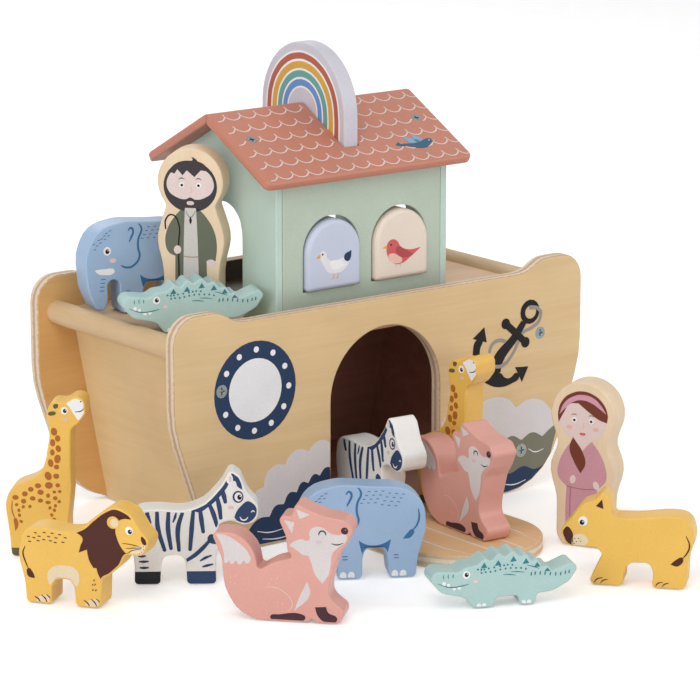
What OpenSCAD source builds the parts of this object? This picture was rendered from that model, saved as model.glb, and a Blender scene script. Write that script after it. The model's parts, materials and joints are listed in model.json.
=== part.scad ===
// Toy ark of plywood boards with a house on deck, a loose ramp, animals and two people.
// Millimetres, +Z up, X along the hull, the doorway faces -Y, floor at z = 0.

/* [Boards] */
// thickness of the hull boards and of the ramp
board_t = 9; // [6:0.5:12]
// thickness of the house walls and gables
wall_t = 5; // [4:0.5:8]
// thickness of the roof boards
roof_t = 6; // [5:0.5:9]
// space left for glue between boards that meet
glue_gap = 0.1; // [0.05:0.05:0.2]

/* [Hull] */
// overall length of the side panels
panel_len = 324; // [290:1:360]
// clear width between the side panels
hull_in_w = 140; // [120:1:160]
// height of the rounded lobes at the ends of the panels
lobe_h = 152.5; // [146:0.5:165]
// height of the straight top edge of the panels
rail_h = 144.4; // [138:0.2:150]
// height of the deck surface
deck_h = 131; // [124:0.5:134]
// how far the foot of an end board stands from the middle
end_foot = 111.4; // [100:0.2:116]
// lean of the end boards from upright
end_lean = 11; // [6:0.5:13]
// diameter of the dowel rails
rail_d = 15; // [12:0.5:18]
// distance of the dowel rails from the middle
rail_x = 147.3; // [146:0.1:150]
// how far a dowel rail stands above the deck
rail_proud = 5.2; // [3:0.1:7]
// depth of the dowel sockets in the panels
rail_socket = 3; // [2:0.5:5]
// radial space round the dowels in their sockets
socket_gap = 0.05; // [0.02:0.01:0.1]

/* [Doorway and ramp] */
// width of the doorway
door_w = 87; // [76:0.5:94]
// height of the top of the doorway arch
door_top = 126; // [118:0.5:130]
// width of the ramp
ramp_w = 98; // [90:0.5:104]
// length of the ramp
ramp_len = 125; // [110:1:132]
// space between the ramp and the hull
ramp_gap = 0.6; // [0.4:0.1:2]

/* [House] */
// length of the house over its gables
house_len = 135.4; // [126:0.2:144]
// depth of the house
house_dep = 110; // [100:1:120]
// height of the ridge above the floor
ridge_h = 258; // [250:0.5:270]
// slope of the roof
roof_pitch = 28; // [24:0.5:32]
// length of the roof along the ridge
roof_len = 162; // [150:1:176]
// reach of each roof board out from the ridge, measured level
roof_reach = 66; // [63:0.1:72]
// width of the arched opening in a gable
arch_w = 40; // [30:0.5:48]
// height of the top of that opening above the floor
arch_top = 201; // [190:0.5:206]

/* [Window blocks] */
// width of a window block
block_w = 42.4; // [38:0.1:46]
// height of a window block
block_h = 44.2; // [40:0.1:48]
// thickness of a window block
block_t = 18; // [14:0.5:20]
// distance of each block from the middle of the pair
block_x = 26.9; // [26:0.1:29]
// how far the pair lies from the middle of the house toward the stern
block_shift = 2.2; // [0:0.1:4]
// height of the window sills above the deck
sill_up = 18; // [14:0.5:22]
// how far the blocks stand out of the wall
block_proud = 3.5; // [1:0.1:6]
// space beside a block in its window
block_gap = 0.8; // [0.4:0.05:1.2]
// space above a block in its window
block_head = 2.2; // [0.8:0.1:3.5]
// space under a block
block_rest = 0.3; // [0.2:0.05:0.4]
// how far the ledge behind the windows reaches past the blocks
ledge_past = 2; // [1:0.5:6]

/* [Rainbow] */
// radius of the rainbow
bow_r = 43.5; // [36:0.5:48]
// thickness of the rainbow
bow_t = 11; // [8:0.5:14]
// height of the centre of the rainbow below the ridge
bow_drop = 5.8; // [0:0.1:9]
// depth of the groove across the roof that seats the rainbow
groove_d = 3; // [2:0.25:4]
// space round the rainbow in its groove
groove_gap = 0.6; // [0.4:0.05:1]
// corner radius of the groove ends
groove_r = 1.2; // [0.8:0.1:1.4]

/* [Screws] */
// head diameter of the hull screws
hull_head_d = 8; // [7:0.25:9]
// shank diameter of the hull screws
hull_shank_d = 4; // [3:0.25:5]
// length of the hull screws
hull_screw_len = 30; // [22:1:40]
// height of the lower hull screws
hull_screw_low = 27; // [20:0.5:40]
// height of the upper hull screws
hull_screw_high = 103.3; // [90:0.5:110]
// head diameter of the roof screws
roof_head_d = 7; // [5:0.25:8]
// shank diameter of the roof screws
roof_shank_d = 2.4; // [2:0.1:3]
// length of the roof screws
roof_screw_len = 20; // [14:1:26]
// level distance of the roof screws from the ridge
roof_screw_y = 27; // [18:0.5:34]
// radial space round the screws
screw_gap = 0.05; // [0.02:0.01:0.1]

/* [Figures] */
// thickness of the animals and people
figure_t = 18; // [14:0.5:20]
// air under a standing figure
stand_gap = 0.3; // [0.2:0.05:0.4]
// overall height of the man
man_h = 108; // [96:1:112]
// overall height of the woman
woman_h = 104; // [96:1:112]
// width of a head
head_w = 42; // [38:0.5:46]
// overall height of a giraffe
giraffe_h = 101; // [90:1:108]
// overall height of the lion
lion_h = 62; // [55:1:68]
// overall height of the lioness
lioness_h = 56.5; // [50:0.5:62]
// overall height of a zebra
zebra_h = 69; // [60:1:75]
// overall height of a fox
fox_h = 70; // [60:1:76]
// overall height of an elephant
elephant_h = 58.5; // [53:0.5:64]
// overall height of a crocodile
crocodile_h = 33; // [29:0.5:37]

/* [Hidden] */
$fn = 64;
arc_step = 15;
eps = 0.5;
half_w = hull_in_w / 2;
face_y = -half_w - board_t;
lean_t = board_t / cos(end_lean);
rail_z = deck_h + rail_proud - rail_d / 2;
rail_reach = rail_d / 2;
deck_low = deck_h - board_t;
house_front = -house_dep / 2;
gable_x = house_len / 2;
roof_v = roof_t / cos(roof_pitch);
groove_v = groove_d / cos(roof_pitch);
sill_h = deck_h + sill_up;
ramp_in = face_y - ramp_gap;
ramp_far = ramp_in - ramp_len;
ramp_top = board_t;
panel_end = panel_len / 2;

// the shape of a panel's end: keel corner, belly, and the lobe above the top edge
keel_inset = 28.8;
keel_r = 47;
belly_h = 84;
belly_r = 75;
lobe_r = 29;
lobe_w = 34;
lobe_heel_r = 20;
lobe_fall = 13;
lobe_foot_r = 24;

// height of the roof's upper face and of its under face at a level distance from the ridge
function roof_top(y) = ridge_h - abs(y) * tan(roof_pitch);
function roof_under(y) = roof_top(y) - roof_v;

// distance of an end board's outer face from the middle at a height
function end_out(z) = end_foot + z * tan(end_lean);
function end_mid(z) = end_out(z) - lean_t / 2;
function end_in(z) = end_out(z) - lean_t;

// round the corners of an outline whose points are [x, y, radius]
function unit(v) = v / norm(v);
function flat(p) = [p[0], p[1]];
function turn(a, b) = a[0] * b[1] - a[1] * b[0];
function corner(p, q, s) =
    let (
        a = unit(flat(p) - flat(q)),
        b = unit(flat(s) - flat(q)),
        half = acos(max(-1, min(1, a * b))) / 2,
        room = 0.49 * min(norm(flat(p) - flat(q)), norm(flat(s) - flat(q)))
    )
    (half > 89 || q[2] < 0.05) ? [flat(q)] :
    let (
        reach = min(q[2] / tan(half), room),
        r = reach * tan(half),
        c = flat(q) + unit(a + b) * r / sin(half),
        from = flat(q) + a * reach - c,
        sweep = (turn(from, flat(q) + b * reach - c) > 0 ? 1 : -1) * (180 - 2 * half),
        steps = max(1, ceil(abs(sweep) / arc_step)),
        start = atan2(from[1], from[0])
    )
    [for (i = [0:steps]) c + r * [cos(start + sweep * i / steps), sin(start + sweep * i / steps)]];
function rounded(pts) =
    let (n = len(pts))
    [for (i = [0:n - 1]) each corner(pts[(i + n - 1) % n], pts[i], pts[(i + 1) % n])];
function mirrored(pts) = [for (i = [len(pts) - 1:-1:0]) [-pts[i][0], pts[i][1], pts[i][2]]];

// bring an outline that was drawn at one height to another
function sized(pts, drawn, h) = [for (p = pts) p * h / drawn];

// an arched outline standing on y = 0
function arch(w, h) = concat(
    [[-w / 2, 0], [w / 2, 0]],
    [for (a = [0:6:180]) [w / 2 * cos(a), h - w / 2 + w / 2 * sin(a)]]
);

// lay an outline drawn in x and z out along Y, or one drawn in y and z out along X
module along_y(y0, y1) {
    translate([0, y1, 0])
        rotate([90, 0, 0])
            linear_extrude(y1 - y0)
                children();
}
module along_x(x0, x1) {
    translate([x0, 0, 0])
        rotate([90, 0, 90])
            linear_extrude(x1 - x0)
                children();
}

// a countersunk screw with a crossed drive, its head's top at z = 0, pointing down
module screw(head_d, shank_d, length) {
    head_h = (head_d - shank_d) / 2;
    difference() {
        rotate_extrude()
            polygon([
                [0, 0],
                [head_d / 2, 0],
                [head_d / 2, -0.4],
                [shank_d / 2, -head_h - 0.4],
                [shank_d / 2, -length + shank_d],
                [0, -length]
            ]);
        for (a = [0, 90])
            rotate([0, 0, a])
                translate([-head_d * 0.28, -head_d * 0.055, -head_d * 0.14])
                    cube([head_d * 0.56, head_d * 0.11, head_d]);
    }
}
module screw_hole(head_d, shank_d, length) {
    head_h = (head_d - shank_d) / 2;
    rotate_extrude()
        polygon([
            [0, eps],
            [head_d / 2 + screw_gap, eps],
            [head_d / 2 + screw_gap, -0.4 - screw_gap],
            [shank_d / 2 + screw_gap, -head_h - 0.4 - screw_gap],
            [shank_d / 2 + screw_gap, -length - 0.5],
            [0, -length - 0.5]
        ]);
}
module at_hull_screws() {
    for (side = [1, -1], end = [1, -1], z = [hull_screw_low, hull_screw_high])
        translate([end * end_mid(z), side * face_y, z])
            rotate([side * 90, 0, 0])
                children();
}
module at_roof_screws() {
    for (side = [1, -1], end = [1, -1])
        translate([end * (gable_x - wall_t / 2), side * roof_screw_y, roof_top(roof_screw_y)])
            rotate([-side * roof_pitch, 0, 0])
                children();
}
module hull_screw_holes() {
    at_hull_screws() screw_hole(hull_head_d, hull_shank_d, hull_screw_len);
}
module roof_screw_holes() {
    at_roof_screws() screw_hole(roof_head_d, roof_shank_d, roof_screw_len);
}
module rails(gap) {
    for (end = [1, -1])
        translate([end * rail_x, half_w + rail_socket + gap, rail_z])
            rotate([90, 0, 0])
                cylinder(d = rail_d + 2 * gap, h = hull_in_w + 2 * rail_socket + 2 * gap);
}

// the outline of a side panel: flat keel, leaning ends, a lobe at each end of the top edge
module panel_outline() {
    right = [
        [panel_end - keel_inset, 0, keel_r],
        [panel_end, belly_h, belly_r],
        [panel_end, lobe_h, lobe_r],
        [panel_end - lobe_w, lobe_h, lobe_heel_r],
        [panel_end - lobe_w - lobe_fall, rail_h, lobe_foot_r]
    ];
    polygon(rounded(concat(right, mirrored(right))));
}
module side_panel(side) {
    mid_y = side * (half_w + board_t / 2);
    difference() {
        along_y(mid_y - board_t / 2, mid_y + board_t / 2)
            panel_outline();
        rails(socket_gap);
        hull_screw_holes();
    }
}
module front_side_panel() {
    color([0.84, 0.71, 0.53])
        difference() {
            side_panel(-1);
            translate([0, 0, board_t])
                along_y(face_y - eps, -half_w + eps)
                    polygon(arch(door_w, door_top - board_t));
        }
}
module rear_side_panel() {
    color([0.84, 0.71, 0.53]) side_panel(1);
}
module end_board() {
    top = deck_low - glue_gap;
    difference() {
        along_y(-half_w + glue_gap, half_w - glue_gap)
            polygon([[end_in(0), 0], [end_out(0), 0], [end_out(top), top], [end_in(top), top]]);
        hull_screw_holes();
        rails(glue_gap);
    }
}
module stern_end_board() {
    color([0.82, 0.69, 0.52]) end_board();
}
module bow_end_board() {
    color([0.82, 0.69, 0.52]) mirror([1, 0, 0]) end_board();
}
module rail(end) {
    translate([end * rail_x, half_w + rail_socket, rail_z])
        rotate([90, 0, 0])
            cylinder(d = rail_d, h = hull_in_w + 2 * rail_socket);
}
module bow_dowel_rail() {
    color([0.88, 0.76, 0.58]) rail(-1);
}
module stern_dowel_rail() {
    color([0.88, 0.76, 0.58]) rail(1);
}
module deck_board() {
    reach = rail_x - rail_reach - glue_gap;
    color([0.82, 0.69, 0.52])
        translate([-reach, -half_w + glue_gap, deck_low])
            cube([2 * reach, hull_in_w - 2 * glue_gap, board_t]);
}
module hull_floor() {
    low = end_in(0) - glue_gap;
    high = end_in(board_t) - glue_gap;
    color([0.82, 0.69, 0.52])
        along_y(-half_w + glue_gap, half_w - glue_gap)
            polygon([[-low, 0], [low, 0], [high, board_t], [-high, board_t]]);
}
module hull_screws() {
    color([0.72, 0.75, 0.77])
        at_hull_screws() screw(hull_head_d, hull_shank_d, hull_screw_len);
}

// the ramp, a board with a round outer end that lies before the doorway
module ramp_board() {
    r = ramp_w / 2;
    centre = ramp_far + r;
    color([0.85, 0.68, 0.46])
        linear_extrude(ramp_top)
            polygon(concat(
                rounded([[r, centre, 0], [r, ramp_in, 2], [-r, ramp_in, 2], [-r, centre, 0]]),
                [for (a = [186:6:354]) [r * cos(a), centre + r * sin(a)]]
            ));
}

// the house on deck
module window_holes() {
    for (s = [-1, 1])
        translate([block_shift + s * block_x, 0, sill_h])
            along_y(house_front - eps, house_front + wall_t + eps)
                polygon(arch(block_w + 2 * block_gap, block_h + block_rest + block_head));
}
module house_front_wall() {
    low = deck_h + glue_gap;
    out_y = house_front;
    in_y = house_front + wall_t;
    reach = gable_x - wall_t - glue_gap;
    color([0.73, 0.80, 0.75])
        difference() {
            along_x(-reach, reach)
                polygon([
                    [out_y, low],
                    [in_y, low],
                    [in_y, roof_under(in_y) - glue_gap],
                    [out_y, roof_under(out_y) - glue_gap]
                ]);
            window_holes();
        }
}
module window_ledge() {
    low = deck_h + glue_gap;
    near = house_front + wall_t + glue_gap;
    far = house_front - block_proud + block_t + ledge_past;
    reach = gable_x - wall_t - glue_gap;
    color([0.82, 0.69, 0.52])
        translate([-reach, near, low])
            cube([2 * reach, far - near, sill_h - low]);
}
module gable() {
    low = deck_h + glue_gap;
    d = house_dep / 2;
    difference() {
        along_x(gable_x - wall_t, gable_x)
            polygon([
                [-d, low],
                [d, low],
                [d, roof_under(d) - glue_gap],
                [0, roof_under(0) - glue_gap],
                [-d, roof_under(d) - glue_gap]
            ]);
        translate([0, 0, deck_h - eps])
            along_x(gable_x - wall_t - eps, gable_x + eps)
                polygon(arch(arch_w, arch_top - deck_h + eps));
        roof_screw_holes();
    }
}
module stern_gable() {
    color([0.71, 0.79, 0.73]) gable();
}
module bow_gable() {
    color([0.71, 0.79, 0.73]) mirror([1, 0, 0]) gable();
}
module groove() {
    d = bow_r + groove_gap;
    w = bow_t / 2 + groove_gap;
    intersection() {
        along_x(-w - eps, w + eps)
            polygon([
                [-d - eps, roof_top(d + eps) - groove_v],
                [0, ridge_h - groove_v],
                [d + eps, roof_top(d + eps) - groove_v],
                [d + eps, ridge_h + 20],
                [-d - eps, ridge_h + 20]
            ]);
        linear_extrude(ridge_h + 10)
            polygon(rounded([[w, d, groove_r], [-w, d, groove_r], [-w, -d, groove_r], [w, -d, groove_r]]));
    }
}
module roof_board() {
    near = -glue_gap / 2;
    difference() {
        along_x(-roof_len / 2, roof_len / 2)
            polygon([
                [near, roof_top(near)],
                [near, roof_under(near)],
                [-roof_reach + roof_t * sin(roof_pitch), roof_top(roof_reach) - roof_t * cos(roof_pitch)],
                [-roof_reach, roof_top(roof_reach)]
            ]);
        groove();
        roof_screw_holes();
    }
}
module front_roof_board() {
    color([0.80, 0.53, 0.43]) roof_board();
}
module rear_roof_board() {
    color([0.80, 0.53, 0.43]) mirror([0, 1, 0]) roof_board();
}
module roof_screws() {
    color([0.72, 0.75, 0.77])
        at_roof_screws() screw(roof_head_d, roof_shank_d, roof_screw_len);
}

// pieces that lift out of the house
module window_block(s) {
    translate([block_shift + s * block_x, 0, sill_h + block_rest])
        along_y(house_front - block_proud, house_front - block_proud + block_t)
            polygon(arch(block_w, block_h));
}
module blue_window_block() {
    color([0.75, 0.77, 0.87]) window_block(-1);
}
module cream_window_block() {
    color([0.88, 0.83, 0.77]) window_block(1);
}
module rainbow_block() {
    centre = ridge_h - bow_drop;
    seat = groove_v - stand_gap;
    color([0.81, 0.79, 0.85])
        along_x(-bow_t / 2, bow_t / 2)
            polygon(concat(
                [for (a = [0:5:180]) [bow_r * cos(a), centre + bow_r * sin(a)]],
                [[-bow_r, roof_top(bow_r) - seat], [0, ridge_h - seat], [bow_r, roof_top(bow_r) - seat]]
            ));
}

// stand a figure drawn in x and z: its front face on the line through pos at angle yaw
module figure(pos, yaw, pts) {
    translate([pos[0], pos[1], pos[2] + stand_gap])
        rotate([0, 0, yaw])
            along_y(0, figure_t)
                polygon(rounded(pts));
}

// outlines of the animals, each drawn to a height of its own
giraffe_drawn = 106.1;
giraffe_pts = [
    [0, 0, 2.5], [13, 0, 2.5], [13.5, 10, 8], [15, 17.5, 6], [22, 17.5, 6], [23.5, 10, 8], [24, 0, 2.5],
    [37, 0, 2.5], [37.2, 24, 30], [39.6, 46, 25], [39.2, 60, 60], [39.7, 85, 5], [44.5, 88.5, 5],
    [49.5, 95, 5], [49.2, 104.5, 5], [42, 107, 7], [36, 102, 8], [27, 103, 5], [23.5, 93, 5],
    [26, 86, 10], [25.3, 72, 60], [20, 53.5, 16], [1, 46.5, 13], [-4, 36, 20], [-1.2, 15, 40]
];
lion_drawn = 66.4;
lion_pts = [
    [-0.5, 0, 3], [16.5, 0, 3], [16.8, 12, 6], [20, 16.8, 6], [29, 17, 6], [31.8, 12, 8], [32.5, 0, 3],
    [49.5, 0, 4], [50.3, 20, 4], [55.5, 22.5, 10], [62.5, 29, 8], [66, 36.5, 3], [78.3, 36.5, 5],
    [82, 46.6, 5], [76.5, 52, 5], [69.5, 63, 9], [58, 68, 18], [45, 58.5, 22], [34.5, 49, 12], [24, 47.6, 30],
    [12, 50.2, 30], [-2, 48.5, 12], [-6, 32, 22], [-1.5, 14, 30]
];
lioness_drawn = 58.1;
lioness_pts = [
    [-1, 0, 4], [21, 0, 4], [21.5, 8, 6], [24, 15, 6], [37, 15.6, 6], [39.5, 9, 8], [38.2, 0, 3],
    [59.5, 0, 4], [60.2, 19, 20], [64.5, 31, 14], [61.5, 45.5, 15], [47, 46.2, 30], [30, 43.6, 40],
    [14, 43, 3], [12, 55, 4], [8, 59.5, 4], [2.5, 53, 4], [-5, 50.5, 9], [-12, 40.5, 22], [-18.3, 33, 5],
    [-14, 23.4, 6], [4.5, 23.4, 3], [8, 19.6, 3], [3, 9, 20]
];
zebra_drawn = 72;
zebra_pts = [
    [0, 0, 2.5], [16.2, 0, 2.5], [16.6, 10, 10], [18, 18.6, 6], [31, 18.6, 6], [32.2, 10, 8],
    [32.6, 0, 2.5], [50.8, 0, 2.5], [50.6, 15, 20], [53, 28, 14], [52, 38.5, 4], [60, 41, 8], [68, 37.6, 6],
    [76.5, 40, 6], [77.5, 50, 7], [70.5, 58, 14], [66, 69, 4], [60, 73.6, 3], [54.5, 63.5, 14],
    [44, 51.5, 20], [31, 47, 20], [14, 48.6, 30], [0, 47.6, 11], [-3, 32, 22], [0.4, 14, 30]
];
fox_drawn = 73.5;
fox_pts = [
    [-8, 0, 14], [23.2, 0, 2.5], [25, 3, 1.6], [27.5, 0, 2.5], [42, 0, 4], [46.5, 7.5, 5], [35.5, 16, 8],
    [36, 25, 14], [41.5, 43, 8], [46.3, 49.5, 4], [51, 59, 4], [46, 65, 4], [33, 67, 10], [22.5, 71, 5],
    [15.5, 75, 3], [13, 66.2, 2], [4.2, 66, 3], [9.5, 53, 4], [10.2, 44.5, 2.5], [13.8, 40.2, 4],
    [2, 37, 20], [-7.8, 31, 2], [-10, 44, 18], [-20, 54, 14], [-37, 54, 3], [-30, 38, 20], [-29, 20, 25],
    [-20.5, 5, 18]
];
elephant_drawn = 62.3;
elephant_pts = [
    [0, 0, 3], [15.6, 0, 3], [16, 14, 8], [18.5, 20.5, 5], [30, 20, 6], [31.6, 14, 8], [33, 0, 3],
    [50.4, 0, 3], [51.2, 12, 20], [56.8, 31, 18], [56, 50, 17], [42, 60, 24], [24, 60.6, 40],
    [2, 62.6, 30], [-18, 58.5, 24], [-26, 40, 26], [-24, 18, 24], [-18, 3.6, 3], [-11.5, 3.6, 3],
    [-9.4, 11, 8], [-9.8, 23.6, 4.6], [-1.2, 23.6, 4.4], [-0.8, 12, 8]
];
crocodile_drawn = 33.8;
crocodile_pts = [
    [-1, 0, 2.5], [11.2, 0, 2.5], [13, 6, 2], [26, 6, 2], [28, 0, 2.5], [37, 0, 2.5], [38, 6.6, 3],
    [48, 7.4, 14], [58.5, 13, 9], [63.5, 21, 3], [60, 25, 3], [47.5, 19.8, 4], [44.6, 24, 2],
    [41.4, 22.4, 2], [38.6, 28.2, 2.4], [34.6, 26.6, 2], [31.4, 32, 2.4], [27, 29.8, 2], [23, 35, 2.6],
    [18, 30.4, 2], [14, 34, 2.4], [9.5, 28.4, 2], [6, 31, 2.4], [0.5, 26.6, 3], [-6, 26, 5],
    [-10.5, 23, 5], [-25, 24.6, 6], [-28.5, 19, 6], [-21, 10.4, 9], [-6, 6.8, 10]
];

// a plain peg doll standing centred on x = 0: round down to the angle low, its neck dip radii under the top
function peg_doll(h, dip, low, shoulder, hip) =
    let (
        r = head_w / 2,
        right = [
            [0.62 * r, 0, 5],
            [hip * r, 0.06 * h, 9],
            [hip * r, 0.3 * h, 30],
            [shoulder * r, 0.475 * h, 26],
            [0.74 * r, h - dip * r, 12]
        ],
        head = [for (a = [-low:9:180 + low]) [r * cos(a), h - r + r * sin(a), 0]]
    )
    concat(right, head, mirrored(right));

// each animal, stood at a place [x, y, surface] with its front face turned to an angle
module giraffe(pos, yaw) {
    color([0.92, 0.75, 0.40]) figure(pos, yaw, sized(giraffe_pts, giraffe_drawn, giraffe_h));
}
module zebra(pos, yaw) {
    color([0.93, 0.92, 0.91]) figure(pos, yaw, sized(zebra_pts, zebra_drawn, zebra_h));
}
module fox(pos, yaw) {
    color([0.88, 0.60, 0.52]) figure(pos, yaw, sized(fox_pts, fox_drawn, fox_h));
}
module elephant(pos, yaw) {
    color([0.59, 0.70, 0.84]) figure(pos, yaw, sized(elephant_pts, elephant_drawn, elephant_h));
}
module crocodile(pos, yaw) {
    color([0.65, 0.79, 0.77]) figure(pos, yaw, sized(crocodile_pts, crocodile_drawn, crocodile_h));
}
module person(pos, yaw, pts) {
    color([0.88, 0.78, 0.64]) figure(pos, yaw, pts);
}

// figures on the floor keep clear of the hull and the ramp whatever their size
module giraffe_a() giraffe([-panel_end - 0.673 * giraffe_h, -0.015 * giraffe_h, 0], -43);
module lion() {
    color([0.92, 0.74, 0.38])
        figure(
            [-panel_end - 1.79 * lion_h, face_y - 0.108 * lion_h, 0], -55, sized(lion_pts, lion_drawn, lion_h)
        );
}
module lioness() {
    color([0.92, 0.74, 0.38])
        figure(
            [0.174 * lioness_h, ramp_far - 0.993 * lioness_h, 0], -49.6,
            sized(lioness_pts, lioness_drawn, lioness_h)
        );
}
module zebra_a() zebra([-panel_end - 0.6145 * zebra_h, face_y - 0.251 * zebra_h, 0], -35.7);
module fox_a() fox([-panel_end - 0.281 * fox_h, face_y - 1.75 * fox_h, 0], -48.2);
module elephant_b() elephant([-ramp_w / 2 - 0.921 * elephant_h, face_y - 1.429 * elephant_h, 0], -29.9);
module crocodile_b() {
    crocodile([-ramp_w / 2 - 0.7515 * crocodile_h, ramp_far - 1.564 * crocodile_h, 0], -24.3);
}
module woman_figure() {
    person(
        [ramp_w / 2 + 0.217 * head_w, ramp_far + 0.133 * head_w, 0], -63,
        peg_doll(woman_h, 1.88, 18, 1.07, 0.79)
    );
}

// figures on the ramp keep their distance from the doorway
module giraffe_b() giraffe([0.213 * giraffe_h, face_y - 2.8 - 0.04 * giraffe_h, ramp_top], -80);
module zebra_b() zebra([-0.3275 * zebra_h, face_y + 0.3 * zebra_h, ramp_top], -94.7);
module fox_b() fox([0, face_y - 0.857 * fox_h, ramp_top], -93.4);

// figures on the bow deck keep clear of the house whatever their size
module elephant_a() elephant([-gable_x - 4.8 - 0.892 * elephant_h, 0.218 * hull_in_w, deck_h], -12);
module crocodile_a() crocodile([-gable_x - 9.6 - 1.689 * crocodile_h, -0.213 * hull_in_w, deck_h], -23);
module man_figure() {
    person(
        [-gable_x - 4 - 0.322 * head_w - 0.766 * figure_t, -0.0621 * hull_in_w, deck_h], -50,
        peg_doll(man_h, 1.72, 36, 1.07, 0.84)
    );
}

front_side_panel();
rear_side_panel();
bow_end_board();
stern_end_board();
bow_dowel_rail();
stern_dowel_rail();
deck_board();
hull_floor();
hull_screws();
ramp_board();
house_front_wall();
window_ledge();
bow_gable();
stern_gable();
front_roof_board();
rear_roof_board();
roof_screws();
blue_window_block();
cream_window_block();
rainbow_block();
giraffe_a();
giraffe_b();
lion();
lioness();
zebra_a();
zebra_b();
fox_a();
fox_b();
elephant_a();
elephant_b();
crocodile_a();
crocodile_b();
man_figure();
woman_figure();
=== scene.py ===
"""Toy ark play set: rounded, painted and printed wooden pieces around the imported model, in metres."""
import json
import math

import bmesh
import bpy
import numpy as np
from mathutils import Matrix, Vector

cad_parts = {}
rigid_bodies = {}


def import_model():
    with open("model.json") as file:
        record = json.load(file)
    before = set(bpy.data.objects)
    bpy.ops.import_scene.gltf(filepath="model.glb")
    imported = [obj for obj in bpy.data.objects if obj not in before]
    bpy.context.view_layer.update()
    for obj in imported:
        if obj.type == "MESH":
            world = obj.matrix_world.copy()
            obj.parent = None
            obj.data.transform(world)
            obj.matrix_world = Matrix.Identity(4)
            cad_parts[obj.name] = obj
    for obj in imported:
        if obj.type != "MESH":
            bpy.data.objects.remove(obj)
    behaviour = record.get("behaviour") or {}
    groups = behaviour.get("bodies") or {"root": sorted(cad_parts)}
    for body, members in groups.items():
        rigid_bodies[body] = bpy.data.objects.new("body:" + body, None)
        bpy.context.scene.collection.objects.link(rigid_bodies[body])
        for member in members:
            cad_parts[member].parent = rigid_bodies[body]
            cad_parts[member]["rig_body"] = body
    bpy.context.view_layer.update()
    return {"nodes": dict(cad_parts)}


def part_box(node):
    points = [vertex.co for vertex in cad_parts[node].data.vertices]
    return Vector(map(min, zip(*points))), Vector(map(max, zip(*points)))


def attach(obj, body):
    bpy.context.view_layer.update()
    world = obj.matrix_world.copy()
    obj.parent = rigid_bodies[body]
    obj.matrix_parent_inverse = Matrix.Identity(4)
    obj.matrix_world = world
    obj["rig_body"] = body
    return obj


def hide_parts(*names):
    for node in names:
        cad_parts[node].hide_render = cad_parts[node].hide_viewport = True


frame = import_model()
scene = bpy.context.scene
scene.view_settings.view_transform = "Standard"
MM = 0.001
ALONG, BACK, UP = Vector((1, 0, 0)), Vector((0, 1, 0)), Vector((0, 0, 1))


# the studio: camera, lamps, pale floor and white backdrop
CAMERA_PLACE = (-1.33854, -1.76509, 0.62746)
CAMERA_TILT = math.radians(76.5)
CAMERA_TURN = math.radians(-37.79)
# each lamp's name, place, the point it shines at, its disk's size and its power
LAMPS = [
    ("key_lamp", (-1.5, -1.3, 2.2), (-0.05, -0.08, 0.08), 1.6, 23),
    ("side_lamp", (-2.3, -0.5, 0.8), (-0.1, 0, 0.1), 1.4, 11),
    ("door_lamp", (-0.5, -2.4, 0.5), (0, 0, 0.08), 0.9, 4),
    ("fill_lamp", (1.6, -1.9, 1.3), (0, -0.05, 0.1), 1.8, 13.5),
    ("back_lamp", (0.6, 1.9, 1.8), (0, 0, 0.1), 1.6, 13),
]
SKY_LIGHT = 0.48
FLOOR_GLOW = 0.3
FLOOR_HALF = 6
FLOOR_DROP = 0.0004


def place_camera():
    lens = bpy.data.cameras.new("camera")
    lens.lens = 182.1
    lens.sensor_width = 36
    lens.shift_x = 0.0043
    lens.shift_y = -0.0004
    lens.clip_end = 20
    camera = bpy.data.objects.new("camera", lens)
    camera.location = CAMERA_PLACE
    camera.rotation_euler = (CAMERA_TILT, 0, CAMERA_TURN)
    scene.collection.objects.link(camera)
    scene.camera = camera


def place_lamp(name, place, target, size, power):
    light = bpy.data.lights.new(name, "AREA")
    light.shape = "DISK"
    light.size = size
    light.energy = power
    lamp = bpy.data.objects.new(name, light)
    lamp.location = place
    lamp.rotation_euler = (Vector(target) - Vector(place)).to_track_quat("-Z", "Y").to_euler()
    scene.collection.objects.link(lamp)


def seen_or_mirrored(tree):
    """1 for what the camera, a gloss or a clear body sees, 0 for light that falls on the object."""
    rays = tree.nodes.new("ShaderNodeLightPath").outputs
    total = rays["Is Camera Ray"]
    for other in ("Is Glossy Ray", "Is Transmission Ray"):
        pick = tree.nodes.new("ShaderNodeMath")
        pick.operation = "MAXIMUM"
        tree.links.new(total, pick.inputs[0])
        tree.links.new(rays[other], pick.inputs[1])
        total = pick.outputs[0]
    return total


def white_backdrop():
    world = bpy.data.worlds.new("studio")
    scene.world = world
    world.use_nodes = True
    tree = world.node_tree
    backdrop = tree.nodes["Background"]
    backdrop.inputs["Color"].default_value = (1, 1, 1, 1)
    level = tree.nodes.new("ShaderNodeMapRange")
    level.inputs["To Min"].default_value = SKY_LIGHT
    level.inputs["To Max"].default_value = 1.0
    tree.links.new(seen_or_mirrored(tree), level.inputs["Value"])
    tree.links.new(level.outputs[0], backdrop.inputs["Strength"])


def flat_floor():
    shape = bmesh.new()
    bmesh.ops.create_grid(shape, x_segments=2, y_segments=2, size=FLOOR_HALF)
    bmesh.ops.translate(shape, verts=shape.verts, vec=(0, 0, -FLOOR_DROP))
    mesh = bpy.data.meshes.new("floor")
    shape.to_mesh(mesh)
    shape.free()
    floor = bpy.data.objects.new("floor", mesh)
    scene.collection.objects.link(floor)
    return floor


place_camera()
for lamp_values in LAMPS:
    place_lamp(*lamp_values)
white_backdrop()
floor = flat_floor()


# shader helpers and shared effects
def tint(*colour):
    """A colour given as it looks, 0 to 255, turned to the shader's linear values."""
    shares = [part / 255 for part in colour]
    return tuple(v / 12.92 if v < 0.04045 else ((v + 0.055) / 1.055) ** 2.4 for v in shares) + (1,)


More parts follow.
